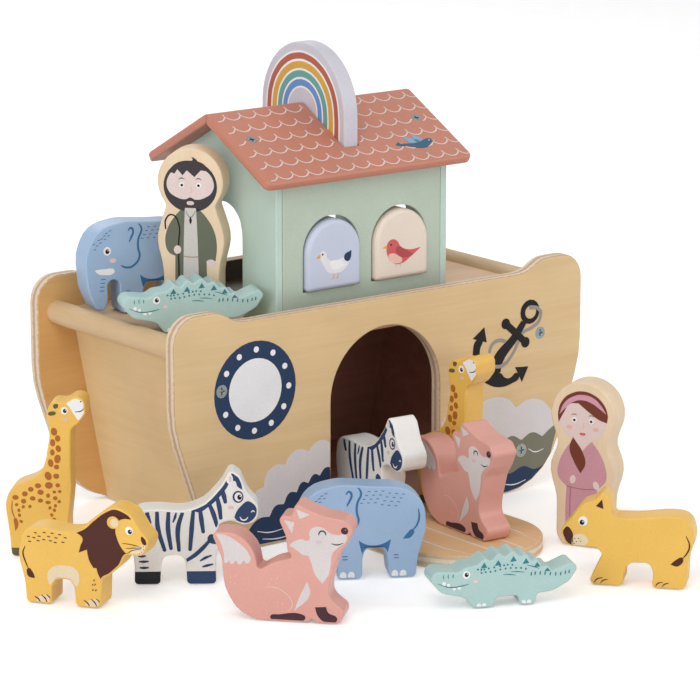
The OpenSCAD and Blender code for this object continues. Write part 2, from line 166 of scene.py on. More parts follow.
def node(tree, kind, inputs, **settings):
    """A new shader node with its inputs linked or set. Gives its outputs."""
    made = tree.nodes.new("ShaderNode" + kind)
    for key, value in settings.items():
        setattr(made, key, value)
    for key, value in inputs.items():
        if isinstance(value, bpy.types.NodeSocket):
            tree.links.new(value, made.inputs[key])
        else:
            made.inputs[key].default_value = value
    return made.outputs


def effect(name, inputs):
    """An empty node group that puts out a surface's colour, roughness and small height."""
    tree = bpy.data.node_groups.new(name, "ShaderNodeTree")
    for label, kind, value in inputs:
        socket = tree.interface.new_socket(label, in_out="INPUT", socket_type="NodeSocket" + kind)
        socket.default_value = value
    for label, kind in (("Color", "Color"), ("Rough", "Float"), ("Height", "Float")):
        tree.interface.new_socket(label, in_out="OUTPUT", socket_type="NodeSocket" + kind)
    return tree, tree.nodes.new("NodeGroupInput").outputs, tree.nodes.new("NodeGroupOutput").inputs


def spread(tree, value, low, high, to_low, to_high):
    return node(tree, "MapRange", {"Value": value, "From Min": low, "From Max": high,
                                   "To Min": to_low, "To Max": to_high})[0]


def mixed(tree, factor, first, second):
    return node(tree, "Mix", {0: factor, 6: first, 7: second}, data_type="RGBA")[2]


def noise(tree, place, scale, detail, distortion=0.0):
    settings = {"Vector": place, "Scale": scale, "Detail": detail, "Distortion": distortion}
    return node(tree, "TexNoise", settings)[0]


def brightened(tree, colour, value):
    return node(tree, "HueSaturation", {"Color": colour, "Value": value})[0]


def reckon(tree, operation, *values, clamp=False):
    return node(tree, "Math", dict(enumerate(values)), operation=operation, use_clamp=clamp)[0]


def wood_effect():
    """Long figure and fine fibre along the grain, with soft clouds of tone."""
    tree, given, out = effect("wood_grain", [
        ("Light", "Color", (1, 1, 1, 1)), ("Dark", "Color", (0.5, 0.5, 0.5, 1)),
        ("Grain", "Vector", (8, 120, 120)), ("Depth", "Float", 0.8)])
    place = node(tree, "TexCoord", {})["Object"]
    along = node(tree, "VectorMath", {0: place, 1: given["Grain"]}, operation="MULTIPLY")[0]
    fine = node(tree, "VectorMath", {0: along, 1: (4, 7, 7)}, operation="MULTIPLY")[0]
    figure = noise(tree, along, 1, 5, 0.8)
    fibre = noise(tree, fine, 1, 3)
    cloud = noise(tree, place, 22, 3)
    share = reckon(tree, "ADD", spread(tree, figure, 0.3, 0.72, 0, 0.6),
                   spread(tree, fibre, 0.3, 0.7, 0, 0.22))
    share = reckon(tree, "MULTIPLY", share, given["Depth"], clamp=True)
    colour = mixed(tree, share, given["Light"], given["Dark"])
    colour = brightened(tree, colour, spread(tree, cloud, 0.3, 0.7, 0.955, 1.035))
    tree.links.new(colour, out["Color"])
    tree.links.new(spread(tree, fibre, 0.3, 0.7, 0.5, 0.64), out["Rough"])
    tree.links.new(fibre, out["Height"])
    return tree


def ply_effect():
    """Light and dark layers of a plywood edge, counted across the board."""
    tree, given, out = effect("ply_layers", [
        ("Light", "Color", (1, 1, 1, 1)), ("Dark", "Color", (0.5, 0.5, 0.5, 1)),
        ("Across", "Vector", (0, 1, 0)), ("Layers", "Float", 390)])
    place = node(tree, "TexCoord", {})["Object"]
    depth = node(tree, "VectorMath", {0: place, 1: given["Across"]}, operation="DOT_PRODUCT")["Value"]
    streak = noise(tree, place, 420, 3)
    waver = spread(tree, streak, 0.3, 0.7, -0.12, 0.12)
    fold = reckon(tree, "PINGPONG", reckon(tree, "MULTIPLY_ADD", depth, given["Layers"], waver), 1.0)
    band = node(tree, "MapRange", {"Value": fold, "From Min": 0.4, "From Max": 0.62},
                interpolation_type="SMOOTHSTEP")[0]
    colour = mixed(tree, band, given["Light"], given["Dark"])
    colour = brightened(tree, colour, spread(tree, streak, 0.3, 0.7, 0.93, 1.05))
    tree.links.new(colour, out["Color"])
    tree.links.new(spread(tree, streak, 0.3, 0.7, 0.58, 0.72), out["Rough"])
    tree.links.new(band, out["Height"])
    return tree


def paint_effect():
    """A satin film with fine flecks and slow drifts of tone and gloss."""
    tree, given, out = effect("paint_film", [
        ("Color", "Color", (1, 1, 1, 1)), ("Fleck", "Float", 0.05), ("Gloss", "Float", 0.45)])
    place = node(tree, "TexCoord", {})["Object"]
    cloud = noise(tree, place, 45, 3)
    peel = noise(tree, place, 1300, 2)
    drift = spread(tree, cloud, 0.3, 0.7, 0.97, 1.03)
    speck = reckon(tree, "MULTIPLY_ADD", spread(tree, peel, 0.32, 0.68, -1, 1), given["Fleck"], drift)
    rough = reckon(tree, "ADD", spread(tree, cloud, 0.3, 0.7, -0.06, 0.06), given["Gloss"])
    tree.links.new(brightened(tree, given["Color"], speck), out["Color"])
    tree.links.new(rough, out["Rough"])
    tree.links.new(peel, out["Height"])
    return tree


WOOD, PLY, PAINT = wood_effect(), ply_effect(), paint_effect()
BUMP_HEIGHT = 0.0002


def finish(name, shared, bump, metal=0.0, shine=0.5, **inputs):
    """A material whose colour, roughness and small relief come from a shared effect."""
    made = bpy.data.materials.new(name)
    made.use_nodes = True
    tree = made.node_tree
    shader = tree.nodes["Principled BSDF"]
    shader.inputs["Metallic"].default_value = metal
    shader.inputs["Specular IOR Level"].default_value = shine
    placed = tree.nodes.new("ShaderNodeGroup")
    placed.node_tree = shared
    for key, value in inputs.items():
        placed.inputs[key].default_value = value
    tree.links.new(placed.outputs["Color"], shader.inputs["Base Color"])
    tree.links.new(placed.outputs["Rough"], shader.inputs["Roughness"])
    relief = node(tree, "Bump", {"Strength": bump, "Distance": BUMP_HEIGHT,
                                 "Height": placed.outputs["Height"]})
    tree.links.new(relief[0], shader.inputs["Normal"])
    return made


def wood(name, light, dark, grain, depth=0.8):
    return finish(name, WOOD, 0.12, Light=tint(*light), Dark=tint(*dark), Grain=grain, Depth=depth)


def layers(name, across, light, dark, per_metre=390):
    return finish(name, PLY, 0.18, Light=tint(*light), Dark=tint(*dark), Across=across, Layers=per_metre)


def paint(name, colour, fleck=0.035, gloss=0.42, shine=0.5):
    return finish(name, PAINT, 0.1, shine=shine, Color=tint(*colour), Fleck=fleck, Gloss=gloss)


def floor_finish():
    made = paint("studio_floor", (246, 246, 246), 0.004, 0.9)
    tree = made.node_tree
    shader = tree.nodes["Principled BSDF"]
    shader.inputs["Emission Color"].default_value = (1, 1, 1, 1)
    glow = reckon(tree, "MULTIPLY", seen_or_mirrored(tree), FLOOR_GLOW)
    tree.links.new(glow, shader.inputs["Emission Strength"])
    return made


floor.data.materials.append(floor_finish())

# grain: how fast the figure changes along x, y and z
LENGTHWISE, CROSSWISE, DOWN_RAMP = (7, 60, 110), (60, 7, 110), (70, 7, 110)
DOWEL_GRAIN, UPRIGHT = (90, 8, 90), (90, 90, 8)
panel_face = wood("panel_face", (223, 193, 147), (204, 169, 117), LENGTHWISE, 0.7)
panel_edge = layers("panel_edge", BACK, (222, 202, 176), (190, 158, 128))
flat_edge = layers("flat_edge", UP, (238, 219, 190), (217, 188, 152))
# the panels' inner face: a warmer, more orange copy of the panel wood, painted bounce light
inner_face_painted_bounce = wood("inner_face_painted_bounce", (223, 177, 114), (202, 149, 86), LENGTHWISE, 0.7)
# painted shade: dark wood for the room inside the house, standing in for its shadow
painted_house_shade = wood("painted_house_shade", (76, 65, 48), (60, 51, 38), LENGTHWISE)
end_face = wood("end_face", (228, 200, 153), (211, 178, 127), CROSSWISE, 0.6)
deck_face = wood("deck_face", (218, 184, 150), (198, 158, 120), LENGTHWISE)
dowel_face = wood("dowel_face", (212, 183, 143), (189, 153, 109), DOWEL_GRAIN, 0.7)
ramp_face = wood("ramp_face", (231, 193, 147), (215, 171, 121), DOWN_RAMP, 0.7)
hold_face = wood("hold_face", (206, 160, 142), (184, 134, 112), LENGTHWISE)
doll_face = wood("doll_face", (231, 208, 178), (214, 185, 148), UPRIGHT, 0.6)
mint = paint("mint", (182, 196, 180))
# the gables' mint is a lighter, bluer copy of the wall's mint: painted light on the gables
gable_mint_painted_light = paint("gable_mint_painted_light", (190, 211, 200))
terracotta = paint("terracotta", (191, 123, 100), 0.06)
honey = paint("honey", (232, 185, 85))
coral = paint("coral", (217, 158, 146))
chalk = paint("chalk", (236, 234, 230))
sky_blue = paint("sky_blue", (155, 182, 213))
aqua = paint("aqua", (172, 202, 199))
lilac = paint("lilac", (200, 197, 207))
block_blue = paint("block_blue", (196, 203, 223))
block_cream = paint("block_cream", (229, 214, 200))
# steel for the screws; its strong fleck is a painted speckle of glints
screw_steel = finish("screw_steel", PAINT, 0.1, metal=1.0, Color=tint(138, 148, 150), Fleck=0.2,
                     Gloss=0.3)

INKS = {
    "navy": (38, 58, 88), "disc": (232, 231, 233), "white": (238, 236, 236), "foam": (216, 210, 210),
    "swell": (124, 122, 106), "black": (26, 24, 24), "rope": (152, 147, 141), "olive": (98, 92, 58),
    "spot": (174, 102, 44), "umber": (78, 40, 34), "cream": (228, 209, 177), "rose": (232, 176, 162),
    "petal": (228, 200, 196), "stripe": (52, 70, 106), "hoof": (36, 38, 44), "russet": (70, 46, 53),
    "wisp": (226, 184, 174), "fur": (213, 205, 204), "tile": (226, 211, 207), "flush": (214, 190, 196),
    "sea": (62, 112, 158), "teal": (58, 124, 132), "skin": (222, 202, 198), "hair": (62, 57, 60),
    "robe": (102, 106, 90), "linen": (200, 196, 190), "plait": (112, 56, 42), "dress": (198, 146, 158),
    "seam": (166, 112, 124), "band": (204, 150, 168), "brick": (178, 100, 82), "ochre": (212, 166, 72),
    "lagoon": (104, 164, 158), "clear_blue": (104, 146, 204), "robin": (208, 98, 98),
    "wing": (178, 78, 84), "beak": (226, 168, 70), "pink": (236, 190, 180), "shade": (168, 150, 130),
    "honey": (232, 185, 85), "slate": (62, 98, 128), "feather": (132, 172, 196),
    "leaf_white": (228, 226, 232),
}
inks = {}


def ink(name):
    if name not in inks:
        inks[name] = paint("ink_" + name, INKS[name], 0.05, 0.6, 0.2)
    return inks[name]


# rounded wooden pieces, each from its solid's own shape
SAME_POINT = 0.00002
FLAT_ANGLE = math.radians(1)
SHARP_ANGLE = math.radians(38)
SMOOTH_ANGLE = math.radians(40)
CORNER_SEGMENTS = 4


def everywhere(point):
    return True


def divide(shape, planes):
    for point, across in planes:
        geometry = shape.verts[:] + shape.edges[:] + shape.faces[:]
        bmesh.ops.bisect_plane(shape, geom=geometry, plane_co=point, plane_no=across)


def ease(shape, width, wanted, segments):
    """Rounds the sharp edges that are wanted."""
    sharp = [edge for edge in shape.edges
             if len(edge.link_faces) == 2 and edge.calc_face_angle(0) > SHARP_ANGLE and wanted(edge)]
    bmesh.ops.bevel(shape, geom=sharp, offset=width, offset_type="OFFSET", segments=segments, profile=0.5,
                    affect="EDGES", clamp_overlap=False, material=-1, loop_slide=True)


def stand_for(solid, shape, finishes, slot):
    """Makes the shape the visible piece of a solid, on the solid's own body."""
    mesh = bpy.data.meshes.new(solid + "_eased")
    shape.to_mesh(mesh)
    shape.free()
    for one in finishes:
        mesh.materials.append(one)
    piece = bpy.data.objects.new(solid + "_eased", mesh)
    scene.collection.objects.link(piece)
    shading = piece.modifiers.new("even_shading", "WEIGHTED_NORMAL")
    shading.keep_sharp = True
    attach(piece, frame["nodes"][solid]["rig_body"])
    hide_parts(solid)
    return piece


def rounded(solid, slot, finishes, width, segments=3, choose=None, keep=everywhere, corners=None,
            splits=(), cuts=()):
    """A copy of a solid with eased edges.

    choose(normal, middle) gives the finish of a face, keep(point) tells whether the edge there is eased,
    corners is a first, wider easing, and splits and cuts divide the faces before and after the easing.
    """
    shape = bmesh.new()
    shape.from_mesh(frame["nodes"][solid].data)
    bmesh.ops.remove_doubles(shape, verts=shape.verts, dist=SAME_POINT)
    bmesh.ops.dissolve_limit(shape, angle_limit=FLAT_ANGLE, verts=shape.verts, edges=shape.edges)
    divide(shape, splits)
    if corners:
        corner_width, is_corner = corners
        ease(shape, corner_width, is_corner, CORNER_SEGMENTS)
    ease(shape, width, lambda edge: keep((edge.verts[0].co + edge.verts[1].co) / 2), segments)
    divide(shape, cuts)
    shape.normal_update()
    for face in shape.faces:
        face.smooth = True
        if choose:
            face.material_index = choose(face.normal, face.calc_center_median())
    for edge in shape.edges:
        edge.smooth = len(edge.link_faces) != 2 or edge.calc_face_angle(0) < SMOOTH_ANGLE
    return stand_for(solid, shape, finishes, slot)


def dress(solid, only_finish):
    """A new finish for a solid that keeps its own shape."""
    slots = frame["nodes"][solid].data.materials
    slots.clear()
    slots.append(only_finish)


# the part's angles and screws, and places taken from the frame
LEAN = math.radians(11)
SLOPE = math.radians(28)
RUN, DROP = math.cos(SLOPE), math.sin(SLOPE)
HULL_SCREW_R = 0.004
ROOF_SCREW_Y = 0.027
end_low, end_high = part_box("stern_end_board")
gable_low, gable_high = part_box("stern_gable")
wall_low, wall_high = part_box("house_front_wall")
screws_low, screws_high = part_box("hull_screws")
rainbow_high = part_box("rainbow_block")[1]
roof_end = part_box("front_roof_board")[1].x
deck_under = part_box("deck_board")[0].z
end_outer_foot = end_high.x - end_high.z * math.tan(LEAN)
end_foot = (end_low.x + end_outer_foot) / 2
gable_middle = (gable_low.x + gable_high.x) / 2
wall_middle = (wall_low.y + wall_high.y) / 2


def end_middle(height):
    """The middle of an end board's thickness at a height, where the hull screws are."""
    return end_foot + height * math.tan(LEAN)


screw_heights = (screws_low.z + HULL_SCREW_R, screws_high.z - HULL_SCREW_R)
low_screw, high_screw = [(end_middle(height), height) for height in screw_heights]
rail_middles = [sum(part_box(rail), Vector()) / 2 for rail in ("bow_dowel_rail", "stern_dowel_rail")]

# the hull and the ramp. Sides and end boards stay sharp round the screws and the rails
SCREW_CLEAR = 0.0062
RAIL_CLEAR = 0.0088
PANEL_EASE, BOARD_EASE, RAMP_EASE = 0.0011, 0.0006, 0.0012


def off_fixings(point):
    to_screws = [math.hypot(abs(point.x) - x, point.z - z) for x, z in (low_screw, high_screw)]
    to_rails = [math.hypot(point.x - rail.x, point.z - rail.z) for rail in rail_middles]
    return min(to_screws) > SCREW_CLEAR and min(to_rails) > RAIL_CLEAR


def panel_cuts():
    """Lines that part a panel's inner face into the hold, the house's room and the rest."""
    cuts = [(UP * deck_under, UP)]
    for side in (1, -1):
        cuts.append((ALONG * side * end_foot, (side * math.cos(LEAN), 0, -math.sin(LEAN))))
    return cuts + [(ALONG * side * gable_high.x, ALONG) for side in (1, -1)]


# the fifth finish, for the inner face inside the house, is painted shade
def panel_finish(normal, middle):
    if abs(normal.y) < 0.75:
        return 1
    if normal.y * middle.y > 0:
        return 0
    if middle.z < deck_under:
        return 2 if abs(middle.x) < end_middle(middle.z) else 3
    return 4 if abs(middle.x) < gable_high.x else 3


def end_finish(normal, middle):
    return 1 if normal.x * middle.x < 0 and abs(normal.x) > 0.5 else 0


def deck_finish(normal, middle):
    """Painted shade: dark inside the house, from the front wall back to the rear panel."""
    if normal.z < -0.7 or abs(normal.y) > 0.7:
        return 1
    return 2 if abs(middle.x) < gable_middle and middle.y > wall_middle else 0


def ramp_finish(normal, middle):
    return 0 if abs(normal.z) > 0.75 else 1


# the fourth finish, the warmer copy of the panel wood on the inner face, is painted bounce light
panel_finishes = [panel_face, panel_edge, hold_face, inner_face_painted_bounce, painted_house_shade]
front_panel, rear_panel = [
    rounded(panel, "birch_plywood", panel_finishes, PANEL_EASE, choose=panel_finish, keep=off_fixings,
            cuts=panel_cuts()) for panel in ("front_side_panel", "rear_side_panel")]
for board in ("bow_end_board", "stern_end_board"):
    rounded(board, "birch_plywood", [end_face, hold_face], BOARD_EASE, choose=end_finish,
            keep=off_fixings)
deck_cuts = [(ALONG * gable_middle, ALONG), (ALONG * -gable_middle, ALONG), (BACK * wall_middle, BACK)]
rounded("deck_board", "birch_plywood", [deck_face, hold_face, painted_house_shade], BOARD_EASE,
        choose=deck_finish, cuts=deck_cuts)
dress("hull_floor", hold_face)
dress("window_ledge", deck_face)
dress("bow_dowel_rail", dowel_face)
dress("stern_dowel_rail", dowel_face)
dress("hull_screws", screw_steel)
dress("roof_screws", screw_steel)
ramp = rounded("ramp_board", "ramp_wood", [ramp_face, flat_edge], RAMP_EASE, choose=ramp_finish)

# the house, its roof and the blocks
WALL_EASE, ROOF_EASE, EAVE_EASE, BLOCK_EASE, RAINBOW_EASE = 0.0007, 0.0018, 0.005, 0.003, 0.0014
ROOF_SCREW_CLEAR = 0.009
GROOVE_CLEAR = Vector((0.0025, 0.0035))
EAVE_Y = 0.06
EAVE_THICK = 0.007
AT_END = 0.0001
# lines that keep the rounded eave corners clear of the screw holes
EAVE_LINE_X, EAVE_LINE_Y = 0.0745, 0.052
eave_lines = [(ALONG * side * EAVE_LINE_X, ALONG) for side in (-1, 1)]
eave_lines += [(BACK * side * EAVE_LINE_Y, BACK) for side in (-1, 1)]


def off_roof_screws(point):
    return math.hypot(abs(point.x) - gable_middle, abs(point.y) - ROOF_SCREW_Y) > ROOF_SCREW_CLEAR


def off_roof_fixings(point):
    reach = rainbow_high.xy + GROOVE_CLEAR
    in_groove = abs(point.x) < reach.x and abs(point.y) < reach.y
    return off_roof_screws(point) and not in_groove


def eave_corner(edge):
    ends = [vert.co for vert in edge.verts]
    at_end = all(abs(abs(end.x) - roof_end) < AT_END and abs(end.y) > EAVE_Y for end in ends)
    return at_end and edge.calc_length() < EAVE_THICK


# the gables take the lighter copy of the mint, painted light
for wall, wall_paint in (("house_front_wall", mint), ("bow_gable", gable_mint_painted_light),
                         ("stern_gable", gable_mint_painted_light)):
    rounded(wall, "mint_paint", [wall_paint], WALL_EASE, keep=off_roof_screws)
front_roof, rear_roof = [
    rounded(board, "terracotta_paint", [terracotta], ROOF_EASE, keep=off_roof_fixings,
            corners=(EAVE_EASE, eave_corner), splits=eave_lines)
    for board in ("front_roof_board", "rear_roof_board")]
blue_block = rounded("blue_window_block", "lavender_blue_paint", [block_blue], BLOCK_EASE, segments=4)
cream_block = rounded("cream_window_block", "cream_paint", [block_cream], BLOCK_EASE, segments=4)
rainbow = rounded("rainbow_block", "lavender_paint", [lilac], RAINBOW_EASE)


# flat prints: shapes drawn in a plane, then laid on a face
# in millimetres: the film's height over the face, the step of a layer, and the height of its underside
FILM, LAYER_STEP, SUNK = 0.05, 0.04, -0.1
FLAT_STROKE = 0.1
WIDE_OUTLINE = 20
ON_FACE = 0.03
TINY = 1e-12
SAME_PRINT_POINT = 1e-7


def drawn(outlines, layer, stroke=None):
    """A thin mesh of filled outlines, or of strokes where stroke gives their width and taper.

    A point is x, y, with a third value 1 where the outline has a corner.
    """
    curve = bpy.data.curves.new("drawn", "CURVE")
    curve.dimensions = "3D" if stroke else "2D"
    wide = max(point[0] for point in outlines[0]) - min(point[0] for point in outlines[0])
    curve.resolution_u = 10 if wide > WIDE_OUTLINE and not stroke else 4
    if stroke:
        curve.bevel_depth = 1
        curve.bevel_resolution = 1
        curve.use_fill_caps = True
    else:
        curve.fill_mode = "BOTH"
        curve.extrude = 0.5
    for points in outlines:
        spline = curve.splines.new("BEZIER")
        spline.bezier_points.add(len(points) - 1)
        spline.use_cyclic_u = not stroke
        for i, (made, point) in enumerate(zip(spline.bezier_points, points)):
            made.co = (point[0], point[1], 0)
            made.handle_left_type = made.handle_right_type = "VECTOR" if len(point) > 2 else "AUTO"
            if stroke:
                width, taper = stroke
                made.radius = width / 2 * (taper if i in (0, len(points) - 1) else 1)
    holder = bpy.data.objects.new("drawn", curve)
    mesh = bpy.data.meshes.new_from_object(holder)
    bpy.data.objects.remove(holder)
    bpy.data.curves.remove(curve)
    lift = FILM + LAYER_STEP * layer
    for vert in mesh.vertices:
        if stroke:
            vert.co.z = lift + FLAT_STROKE * vert.co.z
        else:
            vert.co.z = lift if vert.co.z > 0 else SUNK
    return mesh


def blob(colour, *points, layer=1, holes=()):
    return colour, drawn([points, *holes], layer)


def oval(x, y, rx, ry=None, turn=0.0):
    """Four points of an ellipse, turned by degrees."""
    ry = ry or rx
    cosine, sine = math.cos(math.radians(turn)), math.sin(math.radians(turn))
    ends = [(rx, 0), (0, ry), (-rx, 0), (0, -ry)]
    return [(x + a * cosine - b * sine, y + a * sine + b * cosine) for a, b in ends]


def dots(colour, *ovals, layer=2):
    return colour, drawn([oval(*one) for one in ovals], layer)


def lines(colour, width, *paths, layer=3, taper=0.5):
    return colour, drawn(paths, layer, (width, taper))


def face_rim(piece, from_face, scale):
    """The edges of the flat part of a face, in the print's own plane."""
    shape = bmesh.new()
    shape.from_mesh(piece.data)
    shape.transform(from_face.inverted())
    flat = {face for face in shape.faces
            if all(abs(vert.co.z) * scale < ON_FACE for vert in face.verts)}
    rim = [[*edge.verts[0].co.xy, *edge.verts[1].co.xy] for edge in shape.edges
           if sum(face in flat for face in edge.link_faces) == 1]
    shape.free()
    return np.array(rim)


def kept_on_face(points, rim):
    """Moves each point that lies off the flat face to the nearest point of its rim."""
    start, run = rim[:, :2], rim[:, 2:] - rim[:, :2]
    x, y = points[:, :1], points[:, 1:2]
    rise = np.where(np.abs(run[:, 1]) < TINY, TINY, run[:, 1])
    level = (start[:, 1] > y) != (start[:, 1] + run[:, 1] > y)
    beside = level & (x < run[:, 0] * (y - start[:, 1]) / rise + start[:, 0])
    for i in np.nonzero(beside.sum(1) % 2 == 0)[0]:
        away = points[i, :2] - start
        share = np.clip((away * run).sum(1) / np.maximum((run * run).sum(1), TINY), 0, 1)
        near = start + run * share[:, None]
        points[i, :2] = near[np.argmin(((near - points[i, :2]) ** 2).sum(1))]
    return points


def lay_print(name, parts, faces, piece, body, scale=1.0):
    """One printed piece: the same drawing laid on each face by that face's matrix."""
    shape = bmesh.new()
    colours = sorted({colour for colour, mesh in parts})
    for place in faces:
        rim = face_rim(piece, place, scale)
        for colour, mesh in parts:
            old_verts, old_faces = len(shape.verts), len(shape.faces)
            shape.from_mesh(mesh)
            shape.verts.ensure_lookup_table()
            shape.faces.ensure_lookup_table()
            fresh = shape.verts[old_verts:]
            points = np.array([vert.co[:] for vert in fresh])
            for vert, point in zip(fresh, kept_on_face(points, rim)):
                vert.co = point
            bmesh.ops.transform(shape, matrix=place, verts=fresh)
            new_faces = shape.faces[old_faces:]
            for face in new_faces:
                face.material_index = colours.index(colour)
                face.smooth = False
            if place.determinant() < 0:
                bmesh.ops.reverse_faces(shape, faces=new_faces)
    bmesh.ops.remove_doubles(shape, verts=shape.verts, dist=SAME_PRINT_POINT)
    bmesh.ops.recalc_face_normals(shape, faces=shape.faces)
    mesh = bpy.data.meshes.new(name)
    shape.to_mesh(mesh)
    shape.free()
    for colour in colours:
        mesh.materials.append(ink(colour))
    made = bpy.data.objects.new(name, mesh)
    scene.collection.objects.link(made)
    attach(made, body)


def plane(origin, across, up, out, scale=1.0):
    """The matrix that lays a drawing in millimetres on a face, from an origin in metres."""
    made = Matrix.Identity(4)
    for i, (direction, size) in enumerate(((across, scale), (up, scale), (out, 1))):
        made.col[i][:3] = Vector(direction) * MM * size
    made.translation = origin
    return made


# the figures' prints, each in the units its outline is drawn in
def eye(x, y, radius, look=(0.15, -0.05)):
    """An eye whose pupil is set off by shares of its radius."""
    pupil_x, pupil_y = x + look[0] * radius, y + look[1] * radius
    return [dots("white", (x, y, radius, radius * 1.08)),
            dots("black", (pupil_x, pupil_y, radius * 0.54, radius * 0.6), layer=3),
            dots("white", (pupil_x + 0.2 * radius, pupil_y + 0.22 * radius, radius * 0.16), layer=4)]


def dashes(colour, width, length, turn, *places):
    """Short straight strokes of one length, turned by degrees."""
    half_x = math.cos(math.radians(turn)) * length / 2
    half_y = math.sin(math.radians(turn)) * length / 2
    strokes = [[(x - half_x, y - half_y), (x + half_x, y + half_y)] for x, y in places]
    return lines(colour, width, *strokes, layer=2, taper=0.7)


def giraffe_print():
    neck = [(28.9, 83.1, 1.8, 2.3, 10), (31.2, 78.7, 1.5, 1.9), (27.9, 75.8, 1.5, 2.1),
            (31.5, 72, 1.5, 2, 15), (27.6, 69.4, 1.3, 1.8), (30.8, 65.2, 1.8, 2.5, -10),
            (26.4, 62.4, 1.5, 2.3, 8), (30.1, 59.9, 1.5, 1.4), (24.6, 53.8, 1.9, 2.5, 20),
            (29.8, 53.8, 1.7, 1.5), (24.9, 47.6, 2.2, 1.9), (30.7, 47.8, 1.3, 1.2)]
    back = [(17.9, 47.2, 1.8, 1.4), (13.2, 44.7, 1.6, 1.4), (19.5, 42.9, 1.8, 1.5), (9.3, 41.6, 1.6, 1.5),
            (3.2, 39.1, 1.8, 1.4), (14.3, 38.7, 1.6, 1.3), (8.4, 36.7, 1.5, 1.4), (24.3, 40.8, 1.1, 1.3),
            (19.3, 37.4, 1.5, 1.2), (24.2, 36.3, 1.5, 1), (28.9, 39.2, 1.3, 1.2)]
    small = [(28.4, 43.3), (31.8, 43.7), (31.4, 37), (3.8, 34.3), (8.1, 33), (12.4, 33.3), (25.3, 32.7),
             (28.9, 34.2), (5.2, 30.6), (28.2, 31.2), (5.5, 27.3), (26.4, 28), (6.5, 23.2), (28, 25.2)]
    spots = [(x, y, 1.14 * rx, 1.14 * ry, *turn) for x, y, rx, ry, *turn in neck + back]
    spots += [(x, y, 1.2, 1, 12 * i) for i, (x, y) in enumerate(small)]
    return [
        dots("spot", *spots),
        dots("olive", (30.3, 100, 1.9, 1.6, 60), (27.8, 95, 2.6, 1.35, 8)),
        blob("white", (37, 102.6), (39.2, 105), (43.4, 106), (48.4, 105), (50.4, 101), (50, 96.4),
             (47.6, 92.2), (45.4, 90.8), (42.4, 94), (39.4, 99)),
        *eye(35.8, 97, 2.3),
        dots("wisp", (36.4, 91.3, 1.7, 1.3)),
        dots("black", (46.4, 103.2, 0.55, 0.45)),
        lines("black", 0.7, [(42.6, 96.4), (46.4, 97), (49.8, 100.4)]),
        lines("spot", 0.8, [(1, 37.2), (0.9, 30), (3.1, 24)]),
        blob("spot", (2.6, 25.4), (4.6, 22.6), (4.3, 19.4), (2.6, 16.6, 1), (2.2, 20.4)),
    ]


def lion_print():
    mane = [(72, 60.9, 1), (69.1, 64.5), (61.4, 65.7), (53.6, 62.9), (45.7, 56.8), (38.5, 50.4),
            (33.6, 48.3, 1), (37.8, 44.9), (36.4, 40), (35.1, 35.4, 1), (40.6, 37.8, 1), (42, 31),
            (44.8, 26.3, 1), (46.7, 26.5, 1), (47.8, 22.6), (49.5, 19.4, 1), (54.5, 22.2), (59.8, 24.6),
            (63.3, 29.5), (64.5, 34.2), (67.3, 36.9, 1), (63.9, 40.4), (60.9, 46.3), (59.7, 51.9),
            (61.6, 57.7), (68.1, 60.3)]
    back = [(6.4, 45.7), (12.3, 46.4), (17.6, 46.4), (22.6, 45.9), (5.4, 42.5), (8.9, 43.7), (15.2, 44.1),
            (20.2, 43.6), (26.4, 44.2), (2.4, 39.8), (1.7, 43), (8.1, 40.8), (12, 41.8), (16.4, 41.4),
            (19.6, 40.6), (24.8, 41.2)]
    legs = [(45.1, 18.3), (44.1, 15.3), (45.7, 15.6), (44.2, 12), (46.2, 11.9)]
    claws = [[(5.1, 4.3), (7.6, 2.8), (9.2, 0.4)], [(9.7, 5.7), (12, 3.8), (13.4, 1.1)],
             [(13, 6.2), (15.4, 4.3), (16.9, 1.6)], [(38, 4.7), (40.5, 3.1), (42.1, 0.4)],
             [(42.9, 5.9), (45.2, 4), (46.8, 1.2)], [(46.4, 6.3), (48.6, 4.5), (50, 1.8)]]
    return [
        blob("umber", *mane),
        dots("honey", (58.3, 56.8, 4.1, 4)),
        dots("cream", (59.1, 56.6, 2.7, 2.9), layer=3),
        *eye(68.7, 52.4, 2.5, (0.25, -0.25)),
        dots("umber", (78.4, 46.9, 1.7, 3, 18), layer=3),
        blob("cream", (69.5, 37.6), (72, 41.6), (76.6, 43.8), (80.6, 42.6), (79.6, 38), (76, 36.6)),
        lines("umber", 0.55, [(64.2, 43.9), (70, 43.7), (77, 42.3)],
              [(66.4, 40.9), (72, 41.6), (77, 41.9)], [(66.8, 37.4), (71, 40), (76.5, 41.2)]),
        dots("umber", (77, 39.4, 0.3), (78.2, 41, 0.3), (75.6, 38.4, 0.3), (78, 43, 0.3)),
        dashes("umber", 0.95, 1.9, -4, *back),
        dashes("umber", 0.9, 1.3, 60, *legs),
        lines("umber", 0.9, [(-0.6, 36.6), (-2.2, 32.4), (-1, 27.4), (1.6, 21.4)]),
        blob("umber", (1.3, 22.4), (3.9, 20.3), (5.6, 16.3, 1), (1.9, 16.6), (0.2, 18.6)),
        blob("cream", (13.9, 17.2), (16, 23.2), (24.7, 26.1), (33.3, 24), (35.2, 18.6), (33, 13.4),
             (29, 16.8), (20, 16.6), (16.6, 12.4)),
        blob("cream", (6.4, 2.8), (9.6, 5.2), (13.4, 5.9), (17.2, 5), (17, -0.6), (7, -0.6)),
        blob("cream", (39.4, 3), (42.8, 5.4), (46.6, 6), (50.4, 5.2), (50.2, -0.6), (40, -0.6)),
        lines("umber", 0.95, *claws),
    ]


